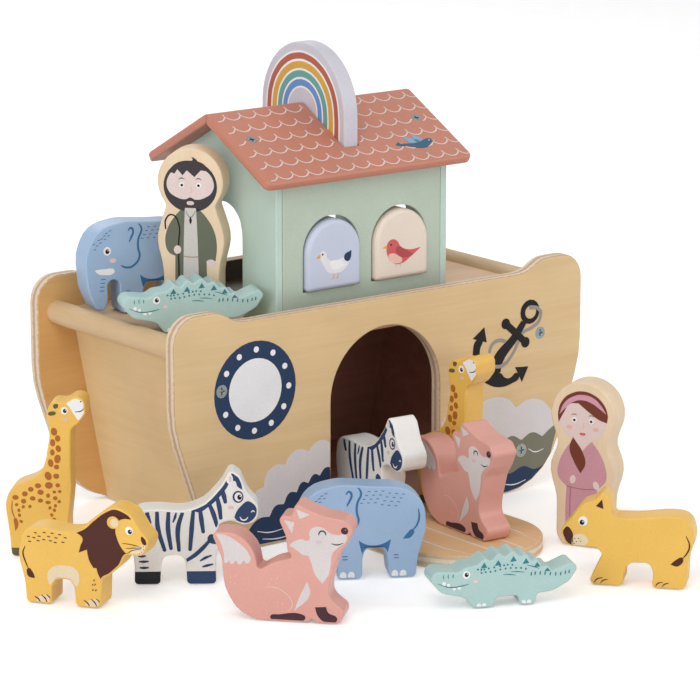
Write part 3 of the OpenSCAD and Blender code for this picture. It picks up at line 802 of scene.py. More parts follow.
def lioness_print():
    claws = [[(3.2, 1.2), (5, 3.6), (8.4, 4.8)], [(7.2, 1.2), (8.8, 3), (11.6, 3.8)],
             [(41, 1.2), (42.4, 3.2), (45.4, 4.2)], [(45, 1.2), (46.4, 2.8), (49, 3.8)]]
    return [
        blob("umber", (3.6, 49.8, 1), (7.4, 54.3, 1), (8.3, 48.3, 1)),
        *eye(-4.1, 39.9, 2.8, (-0.2, -0.3)),
        blob("umber", (-17, 31.4), (-14.4, 36), (-10.8, 33), (-10, 27.6), (-10.6, 24.4), (-15.4, 27.4)),
        blob("cream", (-10.4, 29.4), (-6.6, 31.6), (-2, 30), (-1, 26.4), (-4.6, 24), (-10, 24)),
        dots("umber", (-9, 28.6, 0.35), (-6.6, 28.8, 0.35), (-8, 26.6, 0.35), (-5.4, 27, 0.35),
             (-9.4, 25.4, 0.35)),
        lines("umber", 0.9, [(59, 34), (61.2, 28.3), (59.8, 23.4), (56.4, 19)]),
        blob("umber", (57.2, 20.2), (54.6, 14.8), (49.8, 15.6, 1), (53, 18.6)),
        lines("umber", 0.75, *claws),
    ]


def zebra_print():
    stripes = [[(8.3, 46.6), (8.9, 43.4), (9.9, 40.1)], [(14.5, 47), (15, 36.1), (18.9, 22.3)],
               [(21.6, 47), (21.2, 36.1), (22.9, 23.4)], [(30.2, 46.4), (27.3, 36), (27.8, 22.2)],
               [(36.9, 47.6), (35.8, 35.9), (34.7, 22.6)], [(41.1, 48.2), (41.8, 42), (42.9, 33.9)],
               [(46.8, 51.6), (49.4, 45), (51.4, 37.7)], [(51.3, 56.9), (52.9, 50), (53.8, 42.6)],
               [(54.6, 61.3), (55.8, 57), (56.7, 52.9)]]
    legs = [[(40.8, 15.1), (44, 17), (48, 18.6)], [(42.2, 11.2), (45, 12), (49, 12.9)],
            [(2.4, 18.6), (4.6, 18.4), (7.4, 18.6)], [(3, 15), (6, 14.9), (9, 15.1)],
            [(3.4, 11), (6, 10.9), (9, 11.1)]]
    return [
        lines("stripe", 3, *stripes, taper=0.75),
        dots("stripe", *[(*stripe[-1], 1.15) for stripe in stripes]),
        lines("stripe", 1.7, *legs, [(26.4, 46.6), (25.6, 43.4), (24.3, 40)], taper=0.5),
        lines("stripe", 2.6, [(47, 28.4), (42.3, 23.1), (37.3, 18.6), (31.5, 14.9)], taper=0.75),
        blob("stripe", (46.4, 31.4), (48, 32.2), (52, 29.2), (52, 26, 1), (48.6, 26), (45.6, 28.2)),
        blob("stripe", (35.6, 48.4, 1), (44, 53.5), (50, 59.4), (54.5, 65.5), (58.6, 73), (62.4, 72.6),
             (65.6, 68.1), (67.4, 60.4, 1), (64.3, 62.7), (62.9, 66), (60.6, 66.4), (57.6, 61.8),
             (52.4, 55.2), (46, 49.6), (40, 46.4)),
        blob("white", (59.6, 72, 1), (58, 68.4), (57.9, 65.2), (60.4, 64.6), (61.6, 67.2), layer=3),
        blob("petal", (59.8, 70, 1), (59, 67.4), (59.8, 65.6), (60.8, 67.4), layer=4),
        dots("stripe", (64.6, 56, 3.4, 3.9)),
        dots("white", (64.8, 56, 2.4, 2.9), layer=3),
        dots("black", (65.5, 55.8, 1.4, 1.7), layer=4),
        dots("white", (66, 56.5, 0.45), layer=5),
        blob("stripe", (70, 53), (71.6, 53), (76.2, 48), (76.2, 45.4), (71.4, 39.8), (68, 39.4),
             (62.6, 42.2), (62.6, 44.2), (67.6, 51.4)),
        lines("white", 0.9, [(65.6, 43.2), (67, 41.3), (69.2, 41.3), (70.6, 43)],
              [(72.6, 46), (73.8, 47), (74.8, 46.2)]),
        dots("petal", (60.1, 49.2, 1.8, 1.2)),
    ]


def fox_print():
    fur = [(24, 57.2), (26.3, 60), (31.9, 60.2), (36.4, 57), (41.4, 56), (46, 56.8), (46.4, 52.6),
           (42, 48.6), (38, 44.4), (37, 37.6), (35.6, 31), (31.9, 25, 1), (27.4, 30.5), (24.9, 38.1),
           (23.4, 42, 1), (19.7, 42.6, 1), (16.4, 45, 1), (11.8, 47.9, 1), (13.8, 50.4, 1), (18.8, 52.2),
           (23.5, 51.9)]
    tip = [(-33.6, 52.8, 1), (-28.2, 52.6), (-19.7, 48.1), (-13.4, 41.7), (-12.3, 37), (-14.6, 35.2),
           (-16.5, 37.2, 1), (-18.9, 34.4), (-21.2, 36.9, 1), (-24.1, 34.4), (-25.5, 36.8, 1),
           (-27.4, 34.8), (-28.6, 40.8), (-30.6, 47.4)]
    return [
        blob("fur", (15.8, 70.8, 1), (24.4, 67.8, 1), (18, 64.8, 1)),
        blob("fur", (8.4, 63.6, 1), (14.8, 62.6, 1), (13.4, 55.6, 1)),
        blob("fur", *fur),
        blob("fur", *tip),
        blob("fur", (22.4, 25.9, 1), (24.3, 18), (14.5, 7, 1), (17.6, 15.6)),
        lines("black", 0.8, [(29.6, 55.4), (30.2, 57.3), (32, 58.1), (33.6, 57.1), (34, 55.6)],
              taper=0.7),
        dots("russet", (45.4, 58.8, 2.2, 2.2), layer=3),
        dots("rope", (46, 59.5, 0.4), layer=4),
        lines("black", 0.75, [(37.4, 50.5), (40.8, 49.9), (44.6, 51.2)]),
        dots("flush", (29.8, 51.1, 2, 1.2), layer=3),
        blob("russet", (-0.2, 3), (5, 4.3), (19.4, 5), (21.4, 3.2), (19.6, 1), (5, 0.8), (0.6, 1)),
        blob("russet", (27.2, 10, 1), (34, 10.6, 1), (35.4, 7), (40.8, 4), (39.8, 1.2), (34, 0.8),
             (29.4, 4)),
        lines("wisp", 0.9, [(-3.1, 20.9), (2.1, 21.3), (8, 18.9), (12, 15.1), (13.4, 10.6), (10.5, 6.2)]),
        dashes("wisp", 0.8, 1.4, 75, (-24.4, 26.4), (-21.5, 27.1), (-24.8, 23), (-22.2, 22.3),
               (0.6, 26.4), (4.3, 27.1), (-0.9, 23.4), (3.5, 23.8), (4.3, 11.7), (7.2, 11.3)),
    ]


def elephant_print():
    brow = [(-17, 47.9), (-15.8, 51.4), (-13.8, 52.3), (-11.7, 54.1), (-10.2, 55.8), (-7.6, 57.2),
            (-14.5, 49.6), (-11.3, 51.8), (-8.7, 54), (-18.6, 45.4), (-19.4, 49)]
    back = [(20 + 4.4 * i - 1.6 * j, 57.6 - 2.5 * j - 0.5 * i * (i > 2))
            for j in range(4) for i in range(6)]
    ear = [[(12.7, 61), (14.9, 56.7), (12.4, 50), (12.2, 44), (13.2, 38), (8.3, 32), (3.6, 31.4),
            (-0.3, 33.1)], [(5.2, 56.2), (7.2, 58), (8.8, 55.6), (7.4, 51.6), (5.8, 48.6)]]
    toes = [(x, 2.2, 2.2, 2.9) for x in (3.4, 8.6, 36.6, 42)]
    return [
        lines("sea", 1.4, *ear),
        *eye(-9.9, 43.6, 2.7, (0.05, -0.1)),
        dots("petal", (-5.8, 36.9, 2.3, 1.5)),
        blob("white", (-19, 31.4, 1), (-12, 31.6), (-4.9, 30.4), (-5.6, 28.2), (-12, 27.6),
             (-16.6, 28.8)),
        dashes("sea", 0.75, 1.8, 14, *brow),
        dashes("sea", 0.75, 1.8, -4, *back),
        dashes("sea", 0.8, 3.2, 0, (-13, 24.8), (-13.4, 22.2), (-13.8, 19.6), (-14, 17), (37.4, 15.2),
               (37.6, 13.2), (4.6, 15.2), (4.6, 13.2)),
        blob("sea", (13.4, 25.5, 1), (17.4, 23), (22.8, 21.9), (29, 22.9), (34.2, 25.6, 1), (33, 21),
             (31.8, 15.5, 1), (30.8, 18.4), (28.4, 19.9), (24, 20.2), (20, 20.2), (17.4, 18.4),
             (16.2, 15, 1), (14.6, 20)),
        lines("sea", 1.2, [(51.6, 45.2), (52.2, 40), (50.8, 34.6), (47.6, 30.6)]),
        blob("sea", (48.4, 31.6), (47, 26.6), (41.8, 25.6, 1), (44.4, 29)),
        dots("white", *toes),
    ]


def crocodile_print():
    ridge = [(4.7, 26.4), (13.4, 27.4), (22.8, 29.2), (30.6, 27.4), (37.8, 25), (44.3, 21.9)]
    rows = [(1.1, 24.2), (3.3, 23.8), (5.1, 24), (7.8, 24.4), (11.2, 24.8), (14.8, 25.3), (17.3, 25.7),
            (19.5, 25.9), (22.4, 25.7), (3.4, 21.9), (5.9, 22.2), (8.9, 22.2), (11.9, 22.6), (15, 23.2),
            (18.2, 23.6), (21.4, 23.7), (24.7, 23.5), (27.8, 23.3), (30.8, 22.6)]
    tail = [(34.2, 19.2), (36.6, 19.4), (39.7, 19.3), (42.8, 19), (46, 18.5), (49.4, 18.1), (52.5, 18),
            (55.4, 18.6), (57.7, 19)]
    peaks = [blob("teal", (x - 1.9, y - 1.7, 1), (x + 2.2, y - 1.4, 1), (x + 0.3, y + 1.8, 1))
             for x, y in ridge]
    return [
        *peaks,
        dots("teal", *[(x, y, 0.6) for x, y in rows]),
        dashes("teal", 1.1, 2.1, 82, *tail),
        lines("teal", 0.55, [(21.7, 21.4), (25.6, 21.2), (29.8, 20.5)],
              [(16.7, 19.9), (20.6, 19.8), (24.5, 19.1)], [(31.4, 24.8), (35.2, 23.8), (39.2, 22.2)]),
        lines("teal", 0.6, [(-19.9, 22.2), (-20.1, 20.8), (-19.9, 19.6)],
              [(-17, 22.6), (-17.2, 21), (-17, 19.8)], [(-14, 22.6), (-14.2, 21.2), (-14.2, 19.9)]),
        lines("teal", 0.6, [(-23.3, 17), (-16, 14.3), (-8.6, 14.7), (-4.4, 15.6)]),
        dots("white", (-19.7, 16.7, 1.1, 1.3), (-16.9, 15.6, 1, 1.1), (-13.4, 13.3, 1.1, 1.1),
             (-10.3, 13.6, 1.1, 1.1)),
        *eye(-5.9, 21.3, 2.3, (0.05, 0.05)),
        dots("petal", (-0.4, 16.9, 1.5, 1)),
        dots("white", (1.9, 1.4, 1.4, 1.7), (5.2, 1.4, 1.4, 1.7), (29.6, 1.6, 1.4, 1.7),
             (33, 1.6, 1.4, 1.7)),
    ]


def man_print():
    return [
        blob("robe", (-4.6, 68, 1), (-9.4, 63), (-14.6, 54), (-15.6, 46), (-13.4, 40.4), (-9.6, 38.6, 1),
             (-9.8, 20), (-9.2, 4.6, 1), (9.2, 4.6, 1), (9.8, 20), (9.6, 36.4, 1), (15.2, 36.4, 1),
             (16, 46), (14.2, 55), (9.4, 63), (4.6, 68, 1)),
        blob("linen", (-3.4, 68, 1), (-4.2, 50), (-5, 4.8, 1), (5, 4.8, 1), (4.2, 50), (3.4, 68, 1),
             layer=2),
        lines("shade", 0.7, [(-4.6, 38.6), (0, 38.2), (4.6, 38.6)], layer=4, taper=1),
        lines("hair", 0.35, [(-3, 66.4), (-1.4, 63.4), (0, 62.4), (1.4, 63.4), (3, 66.4)], layer=4),
        blob("black", (0, 63, 1), (0.8, 60.4), (0, 58, 1), (-0.8, 60.4), layer=4),
        blob("hair", *oval(0, 81, 16.4, 15.6)),
        blob("skin", (0, 92.6), (8, 91.6), (13.8, 85.6), (13.6, 78.6), (8.6, 74.4), (3, 73.2), (0, 74.4),
             (-3, 73.2), (-8.6, 74.4), (-13.6, 78.6), (-13.8, 85.6), (-8, 91.6), layer=2),
        blob("hair", (-13.6, 90, 1), (-9.6, 88.4, 1), (-7.8, 91.2, 1), (-4.6, 87.6, 1), (-2, 90.8, 1),
             (2.6, 86.8, 1), (6.6, 91, 1), (11.8, 90.4, 1), (8, 95), (0, 96.6), (-8, 95), layer=3),
        blob("hair", (-0.6, 96, 1), (1.6, 97.2), (0.8, 99, 1), (3.4, 97.8), (5.6, 95.2, 1), layer=2),
        dots("white", (-5.2, 81.8, 1.6), (5.2, 81.8, 1.6), layer=4),
        dots("black", (-5.1, 81.7, 0.85), (5.1, 81.7, 0.85), layer=5),
        lines("hair", 0.6, [(-7, 85.2), (-5.2, 86), (-3.4, 85.4)], [(3.4, 85.4), (5.2, 86), (7, 85.2)],
              layer=5),
        lines("rose", 0.5, [(0.4, 80.6), (0.9, 77.8), (-0.3, 77.4)], layer=5),
        blob("skin", *oval(0, 71, 2.3, 1.2), layer=4),
        lines("rose", 0.4, [(-1.6, 71), (0, 70.7), (1.6, 71)], layer=6),
        lines("black", 0.9, [(-15.4, 54.6), (-15.2, 60.6), (-11.6, 63.6), (-8, 60.4), (-7.6, 44),
                             (-7.2, 5.4)], layer=4, taper=1),
        dots("skin", (-8.2, 42.4, 2.3, 2.6, -10), layer=5),
        blob("skin", (10, 36.2), (14.8, 36.2), (14.4, 33), (10.6, 33.2), layer=2),
    ]


def woman_print():
    return [
        blob("dress", (-6, 67.4, 1), (-11, 61), (-15.2, 52), (-15.8, 44), (-12.6, 39.6), (-10, 37.4, 1),
             (-10.6, 20), (-9.4, 4.6, 1), (9.4, 4.6, 1), (10.6, 20), (10, 37.4, 1), (12.8, 39.6),
             (15.8, 44), (15.2, 52), (11, 61), (6, 67.4, 1), (0, 60.6, 1)),
        blob("skin", (-5.4, 68.6, 1), (5.4, 68.6, 1), (0, 61.4, 1), layer=2),
        lines("seam", 0.6, [(-10, 37.4), (0, 36.6), (10, 37.4)], [(-7.4, 37), (-7.6, 22), (-7, 5)],
              layer=3, taper=1),
        blob("skin", *oval(0, 81.2, 15.6, 15.6)),
        blob("plait", (-15.8, 77.4, 1), (-16.2, 84), (-12.8, 92.4), (-6, 97.2), (0, 98.4), (6, 97.2),
             (12.8, 92.4), (16.2, 85), (15.8, 80, 1), (10.4, 81.6), (4, 85.6), (-3, 90.6, 1),
             (-8.6, 89.6), (-12.4, 84), layer=2),
        blob("band", (-15.4, 82.6, 1), (-12.2, 90), (-6, 94.8), (0, 96.2), (6.4, 95), (12, 90.4),
             (15.4, 85.4, 1), (11, 88.4), (5.4, 91.6), (0, 92.8), (-5.6, 91.6), (-11, 87.2), layer=3),
        dots("white", (-5.6, 80, 1.7), (5.6, 80, 1.7), layer=5),
        dots("umber", (-5.5, 79.9, 0.9), (5.5, 79.9, 0.9), layer=6),
        lines("plait", 0.45, [(-7.4, 83), (-5.6, 83.7), (-3.8, 83.2)],
              [(3.8, 83.2), (5.6, 83.7), (7.4, 83)], layer=6),
        lines("rose", 0.5, [(0.3, 78.6), (0.8, 75.8), (-0.3, 75.4)], layer=6),
        blob("robin", (-2, 71.6), (0, 72.3), (2, 71.6), (0, 70.6), layer=5),
        dots("rose", (-8.6, 75.2, 1.9, 1.1), (8.6, 75.2, 1.9, 1.1), layer=5),
        blob("plait", (-6.2, 69, 1), (-8.4, 62), (-5, 53), (-1, 46.6, 1), (2.2, 53), (0, 60.4),
             (-3.6, 65.6), layer=5),
        dots("skin", (-6, 42.2, 1.9, 2.7, -12), (9.4, 39.8, 1.9, 2.7, 24), layer=4),
    ]


# each kind's drawing, its left end and its height in the drawing's own units, its finish and its slot
KINDS = {
    "giraffe": (giraffe_print(), -3.38, 106.12, honey, "yellow_paint"),
    "lion": (lion_print(), -5.34, 66.37, honey, "yellow_paint"),
    "lioness": (lioness_print(), -17.45, 58.14, honey, "yellow_paint"),
    "zebra": (zebra_print(), -2.6, 72.07, chalk, "white_paint"),
    "fox": (fox_print(), -35.4, 73.49, coral, "coral_paint"),
    "elephant": (elephant_print(), -25.4, 62.28, sky_blue, "blue_paint"),
    "crocodile": (crocodile_print(), -27.44, 33.76, aqua, "aqua_paint"),
    "man": (man_print(), -20.54, 104, doll_face, "doll_wood"),
    "woman": (woman_print(), -21, 104, doll_face, "doll_wood"),
}
# each figure's kind, and its turn about the vertical in degrees
FIGURES = {
    "giraffe_a": ("giraffe", -43), "giraffe_b": ("giraffe", -80),
    "lion": ("lion", -55), "lioness": ("lioness", -49.6),
    "zebra_a": ("zebra", -35.7), "zebra_b": ("zebra", -94.7),
    "fox_a": ("fox", -48.2), "fox_b": ("fox", -93.4),
    "elephant_a": ("elephant", -12), "elephant_b": ("elephant", -29.9),
    "crocodile_a": ("crocodile", -23), "crocodile_b": ("crocodile", -24.3),
    "man_figure": ("man", -50), "woman_figure": ("woman", -63),
}
# dark hooves: inks of the rear and the front one, their height, and the line between the legs,
# both in the drawing's units
HOOVES = {"giraffe": ("olive", "olive", 5.6), "zebra": ("hoof", "stripe", 8.4)}
BETWEEN_LEGS = 24
FIGURE_EASE = 0.0011


def drawing_place(figure, turn, left, height):
    """Where a figure's drawing starts, its direction, the way out of its front, thickness and scale."""
    along = Vector((math.cos(math.radians(turn)), math.sin(math.radians(turn)), 0))
    out = along.cross(UP)
    low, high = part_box(figure)
    scale = (high.z - low.z) / (height * MM)
    points = [vert.co for vert in frame["nodes"][figure].data.vertices]
    start = min(point.dot(along) for point in points) - left * scale * MM
    front = max(point.dot(out) for point in points)
    back = min(point.dot(out) for point in points)
    return along * start + out * front + UP * low.z, along, out, front - back, scale


def hoof_finish(top, split, along, out):
    """Finish 1 on the flat faces of the rear hoof, 2 on those of the front one, 0 elsewhere."""
    def choose(normal, middle):
        if middle.z > top or abs(normal.dot(out)) < 0.3:
            return 0
        return 1 if middle.dot(along) < split else 2
    return choose


def add_figure(figure, kind, turn):
    parts, left, height, main_finish, slot = KINDS[kind]
    foot, along, out, thickness, scale = drawing_place(figure, turn, left, height)
    finishes = [main_finish]
    hoof_parts = {}
    if kind in HOOVES:
        rear_ink, front_ink, hoof_height = HOOVES[kind]
        finishes += [ink(rear_ink), ink(front_ink)]
        top = foot.z + hoof_height * scale * MM
        split = foot.dot(along) + BETWEEN_LEGS * scale * MM
        hoof_parts = dict(choose=hoof_finish(top, split, along, out), cuts=[(UP * top, UP)])
    piece = rounded(figure, slot, finishes, FIGURE_EASE, **hoof_parts)
    faces = [plane(foot, along, UP, out, scale), plane(foot - out * thickness, along, UP, -out, scale)]
    lay_print(figure + "_print", parts, faces, piece, frame["nodes"][figure]["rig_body"], scale)


for figure, (kind, turn) in FIGURES.items():
    add_figure(figure, kind, turn)


# prints of the hull, roof, rainbow, window blocks and ramp, in millimetres
HIGH_SCREW = (-high_screw[0] / MM, high_screw[1] / MM)
LOW_SCREW = (low_screw[0] / MM, low_screw[1] / MM)
# the portholes' radii, and how far their studs stay from a screw
RING_R, STUD_RING, DISC_R, STUD_R = 30.8, 25.4, 19.9, 1.95
SCREW_GAP, STUD_CLEAR = 4.1, 7


def porthole(x, z, screw=None):
    """A ring of studs round a pale disc, with a gap where a screw is."""
    turns = [math.radians(angle) for angle in range(28, 388, 30)]
    studs = [(x + STUD_RING * math.cos(turn), z + STUD_RING * math.sin(turn), STUD_R) for turn in turns]
    gap = []
    if screw:
        studs = [stud for stud in studs if math.dist(stud[:2], screw) > STUD_CLEAR]
        gap = [oval(*screw, SCREW_GAP)]
    return [blob("navy", *oval(x, z, RING_R), holes=gap), dots("disc", (x, z, DISC_R)),
            dots("white", *studs)]


def anchor():
    rope_behind = [
        [(127.6, 117), (126, 111.6), (120.3, 108), (111.3, 105), (108.5, 100.1), (104.1, 93.2),
         (99.1, 87.9)],
        [(88, 86.6), (84.4, 90.6), (84.4, 97.6), (87.1, 101.9), (92.1, 103.3), (98, 101.7)]]
    rope_before = [[(117.6, 121.4), (123.6, 120.4), (127.6, 117)], [(99.1, 87.9), (93.5, 86), (88, 86.6)]]
    return [
        lines("rope", 2.4, *rope_behind, layer=2, taper=1),
        lines("rope", 2.4, *rope_before, layer=8, taper=1),
        blob("black", *oval(118, 118.5, 8), holes=[oval(118.6, 118.3, 4.8, 4.5)], layer=6),
        blob("black", (111, 113.6, 1), (115, 111.2, 1), (108.4, 102.4), (94.8, 87.4), (93.6, 82, 1),
             (85.6, 82, 1), (86.8, 90.8), (103.6, 105.8), layer=4),
        lines("black", 4.8, [(97.6, 113.4), (106, 106.2), (114.4, 98.8)], layer=5, taper=1),
        dots("black", (97.6, 113.4, 3.5, 3.5), (114.4, 98.8, 3.5, 3.5), layer=6),
        blob("black", (73.4, 106), (70.4, 98), (71.6, 88), (76.7, 80.2), (82.4, 76), (91.4, 72.4),
             (102.7, 73), (109.6, 76.8), (107.4, 79.6), (101.5, 77), (97, 78.2), (94.4, 81), (86, 83.6),
             (80, 89), (76.4, 95), (76.4, 100), (78.2, 105), layer=3),
        blob("black", (70.3, 107.4, 1), (79.7, 113.6, 1), (81.8, 103.4, 1), layer=5),
        blob("black", (106, 83.4, 1), (117, 82.4, 1), (111.8, 72.8, 1), layer=5),
    ]


def bow_waves():
    return [
        blob("foam", (-43, 56, 1), (-49, 60.4), (-57, 59), (-61, 55, 1), (-68, 57.6), (-76, 54.6),
             (-79, 49.6, 1), (-87, 50.4), (-94, 45), (-95.6, 38, 1), (-102, 36), (-105, 28), (-100, 19),
             (-70, 16), (-43, 24, 1)),
        blob("navy", (-43, 41.6, 1), (-48, 42.4), (-52.6, 38, 1), (-57, 39.6), (-61.6, 34.8, 1),
             (-66.4, 36), (-70.6, 30.4, 1), (-76, 31), (-80.6, 24.6, 1), (-87, 24.4), (-91.6, 18.4, 1),
             (-99, 18.6), (-106, 14), (-110, 6), (-108, 0, 1), (-43, 0, 1), layer=2),
        lines("white", 0.8, [(-101, 10.6), (-92, 8.4), (-80, 9)], [(-97, 5), (-86, 3.4), (-74, 4)],
              [(-72, 15), (-62, 13), (-50, 14.6)], [(-64, 24), (-56, 22.6), (-47, 24.4)]),
    ]


def stern_waves():
    return [
        blob("swell", (43, 46, 1), (144, 46, 1), (140, 30), (132, 12), (120, 2), (43, 2, 1),
             holes=[oval(*LOW_SCREW, 4.4)]),
        blob("foam", (43, 54, 1), (50, 60.6), (60, 62), (68, 57, 1), (77, 63.6), (90, 66), (101, 62.6),
             (107, 56.4, 1), (116, 60), (128, 58.4), (137, 50.6), (146, 42, 1), (137, 38), (130, 33.6, 1),
             (121, 37.6), (112, 34, 1), (103, 38), (94, 33, 1), (85, 37), (76, 32.4, 1), (66, 36),
             (55, 32, 1), (43, 37, 1), layer=2),
        blob("navy", (43, 15, 1), (54, 12.4), (66, 16), (78, 13), (90, 16.4), (102, 13), (114, 16),
             (124, 12.6), (136, 16, 1), (130, 8, 1), (124, 2, 1), (117, -2, 1), (109, -4, 1),
             (101, -4, 1), (43, -4, 1), layer=2),
        lines("white", 0.8, [(50, 28), (59, 24.6), (69, 26.4)], [(77, 24), (87, 20.6), (98, 23)],
              [(100, 31), (104, 28.6), (107, 29)], [(118, 27), (124, 24), (131, 25)],
              [(58, 6.6), (70, 4.8), (84, 6.4)], [(96, 7), (106, 5), (116, 6.6)]),
    ]


def rear_waves():
    crest = [(98 - 14 * i, 24, 1) if i % 2 == 0 else (98 - 14 * i, 31) for i in range(15)]
    hump = [(104, 40, 1), (90, 49), (72, 50), (58, 42, 1), (40, 52), (16, 54), (0, 45, 1), (-20, 53),
            (-44, 52), (-58, 43, 1), (-74, 50), (-92, 48), (-104, 38, 1)]
    return [
        blob("foam", *hump, (-104, 20, 1), (104, 20, 1)),
        blob("navy", *crest, (-105, 8, 1), (-98, -4, 1), (98, -4, 1), (105, 8, 1), layer=2),
        lines("white", 0.8, *[[(x, 10), (x + 9, 8.2), (x + 19, 9.4)] for x in (-98, -52, -8, 36, 74)],
              *[[(x, 17.6), (x + 8, 15.8), (x + 16, 17)] for x in (-76, -30, 14, 56)]),
    ]


# scallops on the roof: pitch across and down the slope, the first one's left end and top, where
# the rows end, the rainbow's half width and reach down the slope, and the space round a screw
SCALLOP_W, SCALLOP_H = 11.9, 12.35
SCALLOP_X, SCALLOP_TOP, SCALLOP_END = -82.2, 3.6, 80.5
RAINBOW_HALF, RAINBOW_REACH = 7, 50
SCALLOP_CLEAR = 4.6


def roof_scallops():
    """Rows of shallow arcs, left out past the board's ends, under the rainbow and at the screws."""
    arc = [(0, 0), (0.9, 3.4), (4.8, 6.3), (7.4, 6.1), (9.2, 5.4), (11.8, 3)]
    screw_x, screw_down = gable_middle / MM, ROOF_SCREW_Y / RUN / MM
    arcs = []
    for row in range(6):
        top = SCALLOP_TOP + SCALLOP_H * row
        for column in range(14):
            runs = [[]]
            for across, fall in arc:
                x, down = SCALLOP_X + SCALLOP_W * column + across, top + fall
                under_rainbow = abs(x) < RAINBOW_HALF and top < RAINBOW_REACH
                near_screw = math.hypot(abs(x) - screw_x, down - screw_down) < SCALLOP_CLEAR
                if abs(x) < SCALLOP_END and not under_rainbow and not near_screw:
                    runs[-1].append((x, -down))
                else:
                    runs.append([])
            arcs += [run for run in runs if len(run) > 1]
    return [lines("tile", 0.85, *arcs, layer=1, taper=1)]


def blue_bird():
    return [
        blob("feather", (45, -55.4), (41.4, -47.6, 1), (47.4, -50), (51.6, -55), layer=3),
        blob("feather", (49, -55), (49.4, -46.8, 1), (53.6, -49.8), (54, -54.6), layer=3),
        blob("slate", (31.6, -54.4, 1), (35.4, -56.4), (40, -57), (46, -60), (53, -60.2), (58.4, -57),
             (61.6, -54.6), (60, -52.2), (56, -52.6), (50, -54.6), (42, -54.6), (36, -53.8, 1),
             (34.6, -52, 1), layer=4),
        dots("white", (58.8, -54, 0.5, 0.5), layer=6),
        blob("beak", (61, -53.8, 1), (64, -54.8, 1), (61, -55.8, 1), layer=5),
    ]


# the rainbow's bands: ink, outer and inner radius, and layer
BANDS = [("white", 38.4, 14.8, 1), ("brick", 37.1, 33.1, 2), ("ochre", 31.6, 27.2, 2),
         ("lagoon", 25.8, 21.6, 2), ("clear_blue", 20.2, 16, 2)]
BAND_FOOT = 5.1


def arch(radius):
    """A half circle whose feet run down to the roof's slopes."""
    foot = BAND_FOOT - radius * DROP / RUN
    turns = [math.radians(angle) for angle in range(0, 181, 20)]
    arc = [(radius * math.cos(turn), radius * math.sin(turn)) for turn in turns]
    return [(radius, foot, 1), *arc, (-radius, foot, 1)]


def rainbow_bands():
    return [blob(colour, *arch(outer), *reversed(arch(inner)), layer=layer)
            for colour, outer, inner, layer in BANDS]


def goose():
    return [
        lines("beak", 0.7, [(-1.1, -10.9), (-1.3, -14.9), (-2.9, -15.3)],
              [(2.1, -10.9), (2.1, -14.9), (0.5, -15.3)], layer=1),
        blob("leaf_white", (-11.9, -0.3), (-10.1, 3.1), (-7.1, 2.1), (-6.1, -1.5), (-2.5, -3.7),
             (4.5, -3.3), (12.5, 0.7, 1), (11.3, -5.5), (7.1, -10.5), (0.5, -12.1), (-5.9, -10.5),
             (-9.1, -5.9), layer=2),
        blob("navy", (12.9, 1.1, 1), (7.1, -2.1), (9.1, -5.5), (11.7, -4.7), layer=3),
        blob("white", (-3.9, -5.1), (3.5, -4.5), (8.3, -7.5, 1), (3.5, -9.5), (-2.3, -8.7), layer=3),
        blob("beak", (-11.3, 1.5, 1), (-15.3, -0.5, 1), (-11.5, -1.3, 1), layer=3),
        dots("navy", (-9.7, 1.1, 0.65, 0.65), layer=4),
    ]


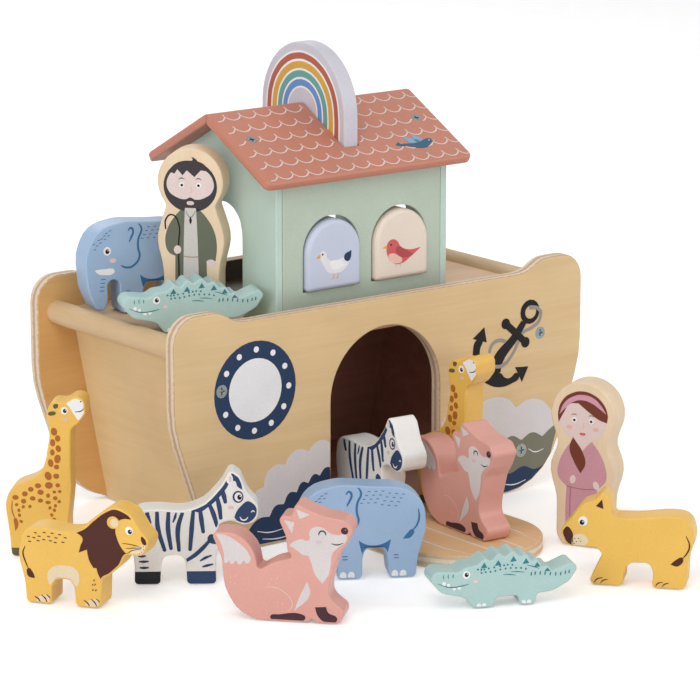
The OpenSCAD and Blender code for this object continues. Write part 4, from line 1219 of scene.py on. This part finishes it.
def red_bird():
    return [
        lines("shade", 0.6, [(-4.9, -11.3), (-5.3, -14.7)], [(-1.9, -11.3), (-1.9, -14.7)], layer=1),
        blob("robin", (-12.9, -1.5), (-11.7, 2.1), (-8.1, 3.7), (-4.3, 2.1), (-1.7, -1.5), (4.7, -4.3),
             (14.7, -4.1, 1), (6.3, -9.3), (-0.3, -12.5), (-6.7, -12.1), (-11.3, -7.9), layer=2),
        blob("pink", (-11.5, -6.5), (-9.7, -10.3), (-4.7, -12.2), (-0.3, -10.7), (-3.9, -7.1),
             (-8.3, -5.3), layer=3),
        blob("wing", (-4.9, -1.9), (1.7, -3.7), (8.7, -8.1, 1), (1.1, -9.1), (-4.1, -6.5), layer=4),
        blob("beak", (-12.5, 0.5, 1), (-16.1, -1, 1), (-12.7, -1.9, 1), layer=3),
        dots("black", (-9.5, 0.3, 0.65, 0.65), layer=4),
    ]


def ramp_planks():
    seams = [[(x, -82), (x, -206)] for x in (-29.5, -10, 9.6, 29.2)]
    return [lines("white", 1.1, *seams, layer=1, taper=1)]


# the roof's ridge, and the height of the rainbow's top over the middle of its printed bands
RIDGE = UP * 0.258
ARCH_RISE = 0.044


def block_face(block):
    """The front of a window block, with the drawing's origin at its middle."""
    low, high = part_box(block)
    middle = (low + high) / 2
    return plane((middle.x, low.y, middle.z), ALONG, UP, -BACK)


front_face = plane(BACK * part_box("front_side_panel")[0].y, ALONG, UP, -BACK)
rear_face = plane(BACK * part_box("rear_side_panel")[1].y, -ALONG, UP, BACK)
front_slope = plane(RIDGE, ALONG, (0, RUN, DROP), (0, -DROP, RUN))
rear_slope = plane(RIDGE, -ALONG, (0, -RUN, DROP), (0, DROP, RUN))
arch_middle = rainbow_high.z - ARCH_RISE
arch_faces = [plane((side * rainbow_high.x, 0, arch_middle), BACK * side, UP, ALONG * side)
              for side in (-1, 1)]
ramp_face_up = plane(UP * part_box("ramp_board")[1].z, ALONG, BACK, UP)
hull_print = porthole(-101.8, 100.3, HIGH_SCREW) + anchor() + bow_waves() + stern_waves()
rear_print = porthole(70, 92) + porthole(-70, 92) + rear_waves()
lay_print("front_panel_print", hull_print, [front_face], front_panel, "ark")
lay_print("rear_panel_print", rear_print, [rear_face], rear_panel, "ark")
lay_print("front_roof_print", roof_scallops() + blue_bird(), [front_slope], front_roof, "ark")
lay_print("rear_roof_print", roof_scallops(), [rear_slope], rear_roof, "ark")
lay_print("rainbow_print", rainbow_bands(), arch_faces, rainbow, "rainbow")
lay_print("blue_block_print", goose(), [block_face("blue_window_block")], blue_block, "blue_block")
lay_print("cream_block_print", red_bird(), [block_face("cream_window_block")], cream_block, "cream_block")
lay_print("ramp_print", ramp_planks(), [ramp_face_up], ramp, "ramp")
